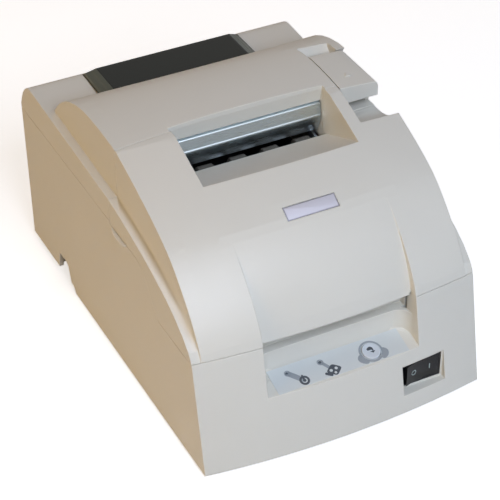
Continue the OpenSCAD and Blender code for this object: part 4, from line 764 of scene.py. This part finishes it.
# Chips: middle x and y, the two sides and the height, with a gap of 0.05 to the board
chips = [(-2, -18, 24, 24, 2.4), (26, -54, 16, 16, 2.2), (-21, -57, 14, 14, 3), (17, -90, 14, 12, 8)]
piece("board_chips", joined(*[slab(plate_outline(a, b, 0.3), 11.65, BOARD_TOP + h, 0.25, Axes((x, y, 0)))
                              for x, y, a, b, h in chips]), black_abs, "base", ["board_parts"])
PITCH = 1.27
pins = [slab(plate_outline(0.5, 1.6, 0.1) + (x - a / 2 + 1.2 + PITCH * i, y + s * (b / 2 + 0.5)),
             BOARD_TOP, 12.1, 0.05)
        for x, y, a, b, h in chips[:3] for s in (-1, 1) for i in range(int((a - 2.4) / PITCH) + 1)]
piece("board_pins", joined(*pins), screw_zinc, "base", ["board_parts"])


# ---------------------------------------------------------------- floor, light, camera

FLOOR_GLOW = 0.66
FLOOR_HALF = 3


def floor_material():
    """Pale sweep: matt white, and in what the camera sees it is brightened towards white while its shadow
    stays."""
    m = bpy.data.materials.new("paper_sweep_white")
    m.use_nodes = True
    t = m.node_tree
    s = t.nodes["Principled BSDF"]
    s.inputs["Base Color"].default_value = linear("e6e6e6")
    s.inputs["Roughness"].default_value = 0.9
    path = add(t, "LightPath")
    glow = add(t, "Emission", {"Color": (1, 1, 1, 1)})
    level = add(t, "Math", {"operation": "MULTIPLY", 1: FLOOR_GLOW}, _0=path.outputs["Is Camera Ray"])
    t.links.new(level.outputs[0], glow.inputs["Strength"])
    both = add(t, "AddShader", None, _0=s.outputs[0], _1=glow.outputs[0])
    t.links.new(both.outputs[0], t.nodes["Material Output"].inputs["Surface"])
    return m


floor_mesh = bpy.data.meshes.new("floor")
floor_mesh.from_pydata([(x * FLOOR_HALF, y * FLOOR_HALF, 0) for x, y in ((-1, -1), (1, -1), (1, 1), (-1, 1))],
                       [], [(0, 1, 2, 3)])
floor = bpy.data.objects.new("floor", floor_mesh)
bpy.context.scene.collection.objects.link(floor)
floor_mesh.materials.append(floor_material())


def lamp(name, place, aim, size, watts, colour):
    """A square soft lamp at place, turned to face aim."""
    data = bpy.data.lights.new(name, "AREA")
    data.shape, data.size, data.energy, data.color = "SQUARE", size, watts, linear(colour)[:3]
    o = bpy.data.objects.new(name, data)
    bpy.context.scene.collection.objects.link(o)
    o.location = place
    back = np.array(place, float) - np.array(aim, float)
    back /= np.linalg.norm(back)
    o.rotation_euler = (math.acos(back[2]), 0, math.atan2(back[0], -back[1]))
    return o


lamp("key_softbox", (-0.08, -0.78, 0.76), (0, 0, 0.05), 0.45, 7.8, "e0ecff")
lamp("left_warm", (-1.4, -0.25, 0.45), (0, 0, 0.05), 0.8, 5.8, "ffcb60")
lamp("top_warm", (-0.2, 0.3, 1.4), (0, 0, 0.1), 0.6, 1.2, "ffb250")
lamp("rear_fill", (-0.7, 1.4, 0.3), (0, 0, 0.05), 0.8, 3.8, "ffdeac")
lamp("right_fill", (1.4, 0.1, 0.3), (0, 0, 0.05), 0.8, 2.2, "f4f2ff")

scene = bpy.context.scene
scene.view_settings.view_transform = "Standard"
world = bpy.data.worlds.new("studio")
scene.world = world
world.use_nodes = True
tree = world.node_tree
tree.nodes.clear()
path = add(tree, "LightPath")
seen = add(tree, "Math", {"operation": "MAXIMUM"}, _0=path.outputs["Is Camera Ray"],
           _1=path.outputs["Is Glossy Ray"])
seen = add(tree, "Math", {"operation": "MAXIMUM"}, _0=seen.outputs[0],
           _1=path.outputs["Is Transmission Ray"])
room = add(tree, "Background", {"Color": linear("e6e8ec"), "Strength": 0.08})
white = add(tree, "Background", {"Color": (1, 1, 1, 1), "Strength": 1.0})
both = add(tree, "MixShader", None, Fac=seen.outputs[0], _1=room.outputs[0], _2=white.outputs[0])
add(tree, "OutputWorld", None, Surface=both.outputs[0])

camera_data = bpy.data.cameras.new("camera")
camera = bpy.data.objects.new("camera", camera_data)
scene.collection.objects.link(camera)
# Focal length in pixels of a picture 500 wide, as fitted to the photograph
SENSOR, FOCAL_PX, PICTURE_PX = 36, 1804.04, 500
camera_data.sensor_width, camera_data.lens = SENSOR, SENSOR * FOCAL_PX / PICTURE_PX
camera_data.clip_start, camera_data.clip_end = 0.05, 20
camera.location = (-0.3552, -0.69902, 0.62948)
camera.rotation_euler = [math.radians(a) for a in (53.0812, 0.1126, -27.1852)]
scene.camera = camera
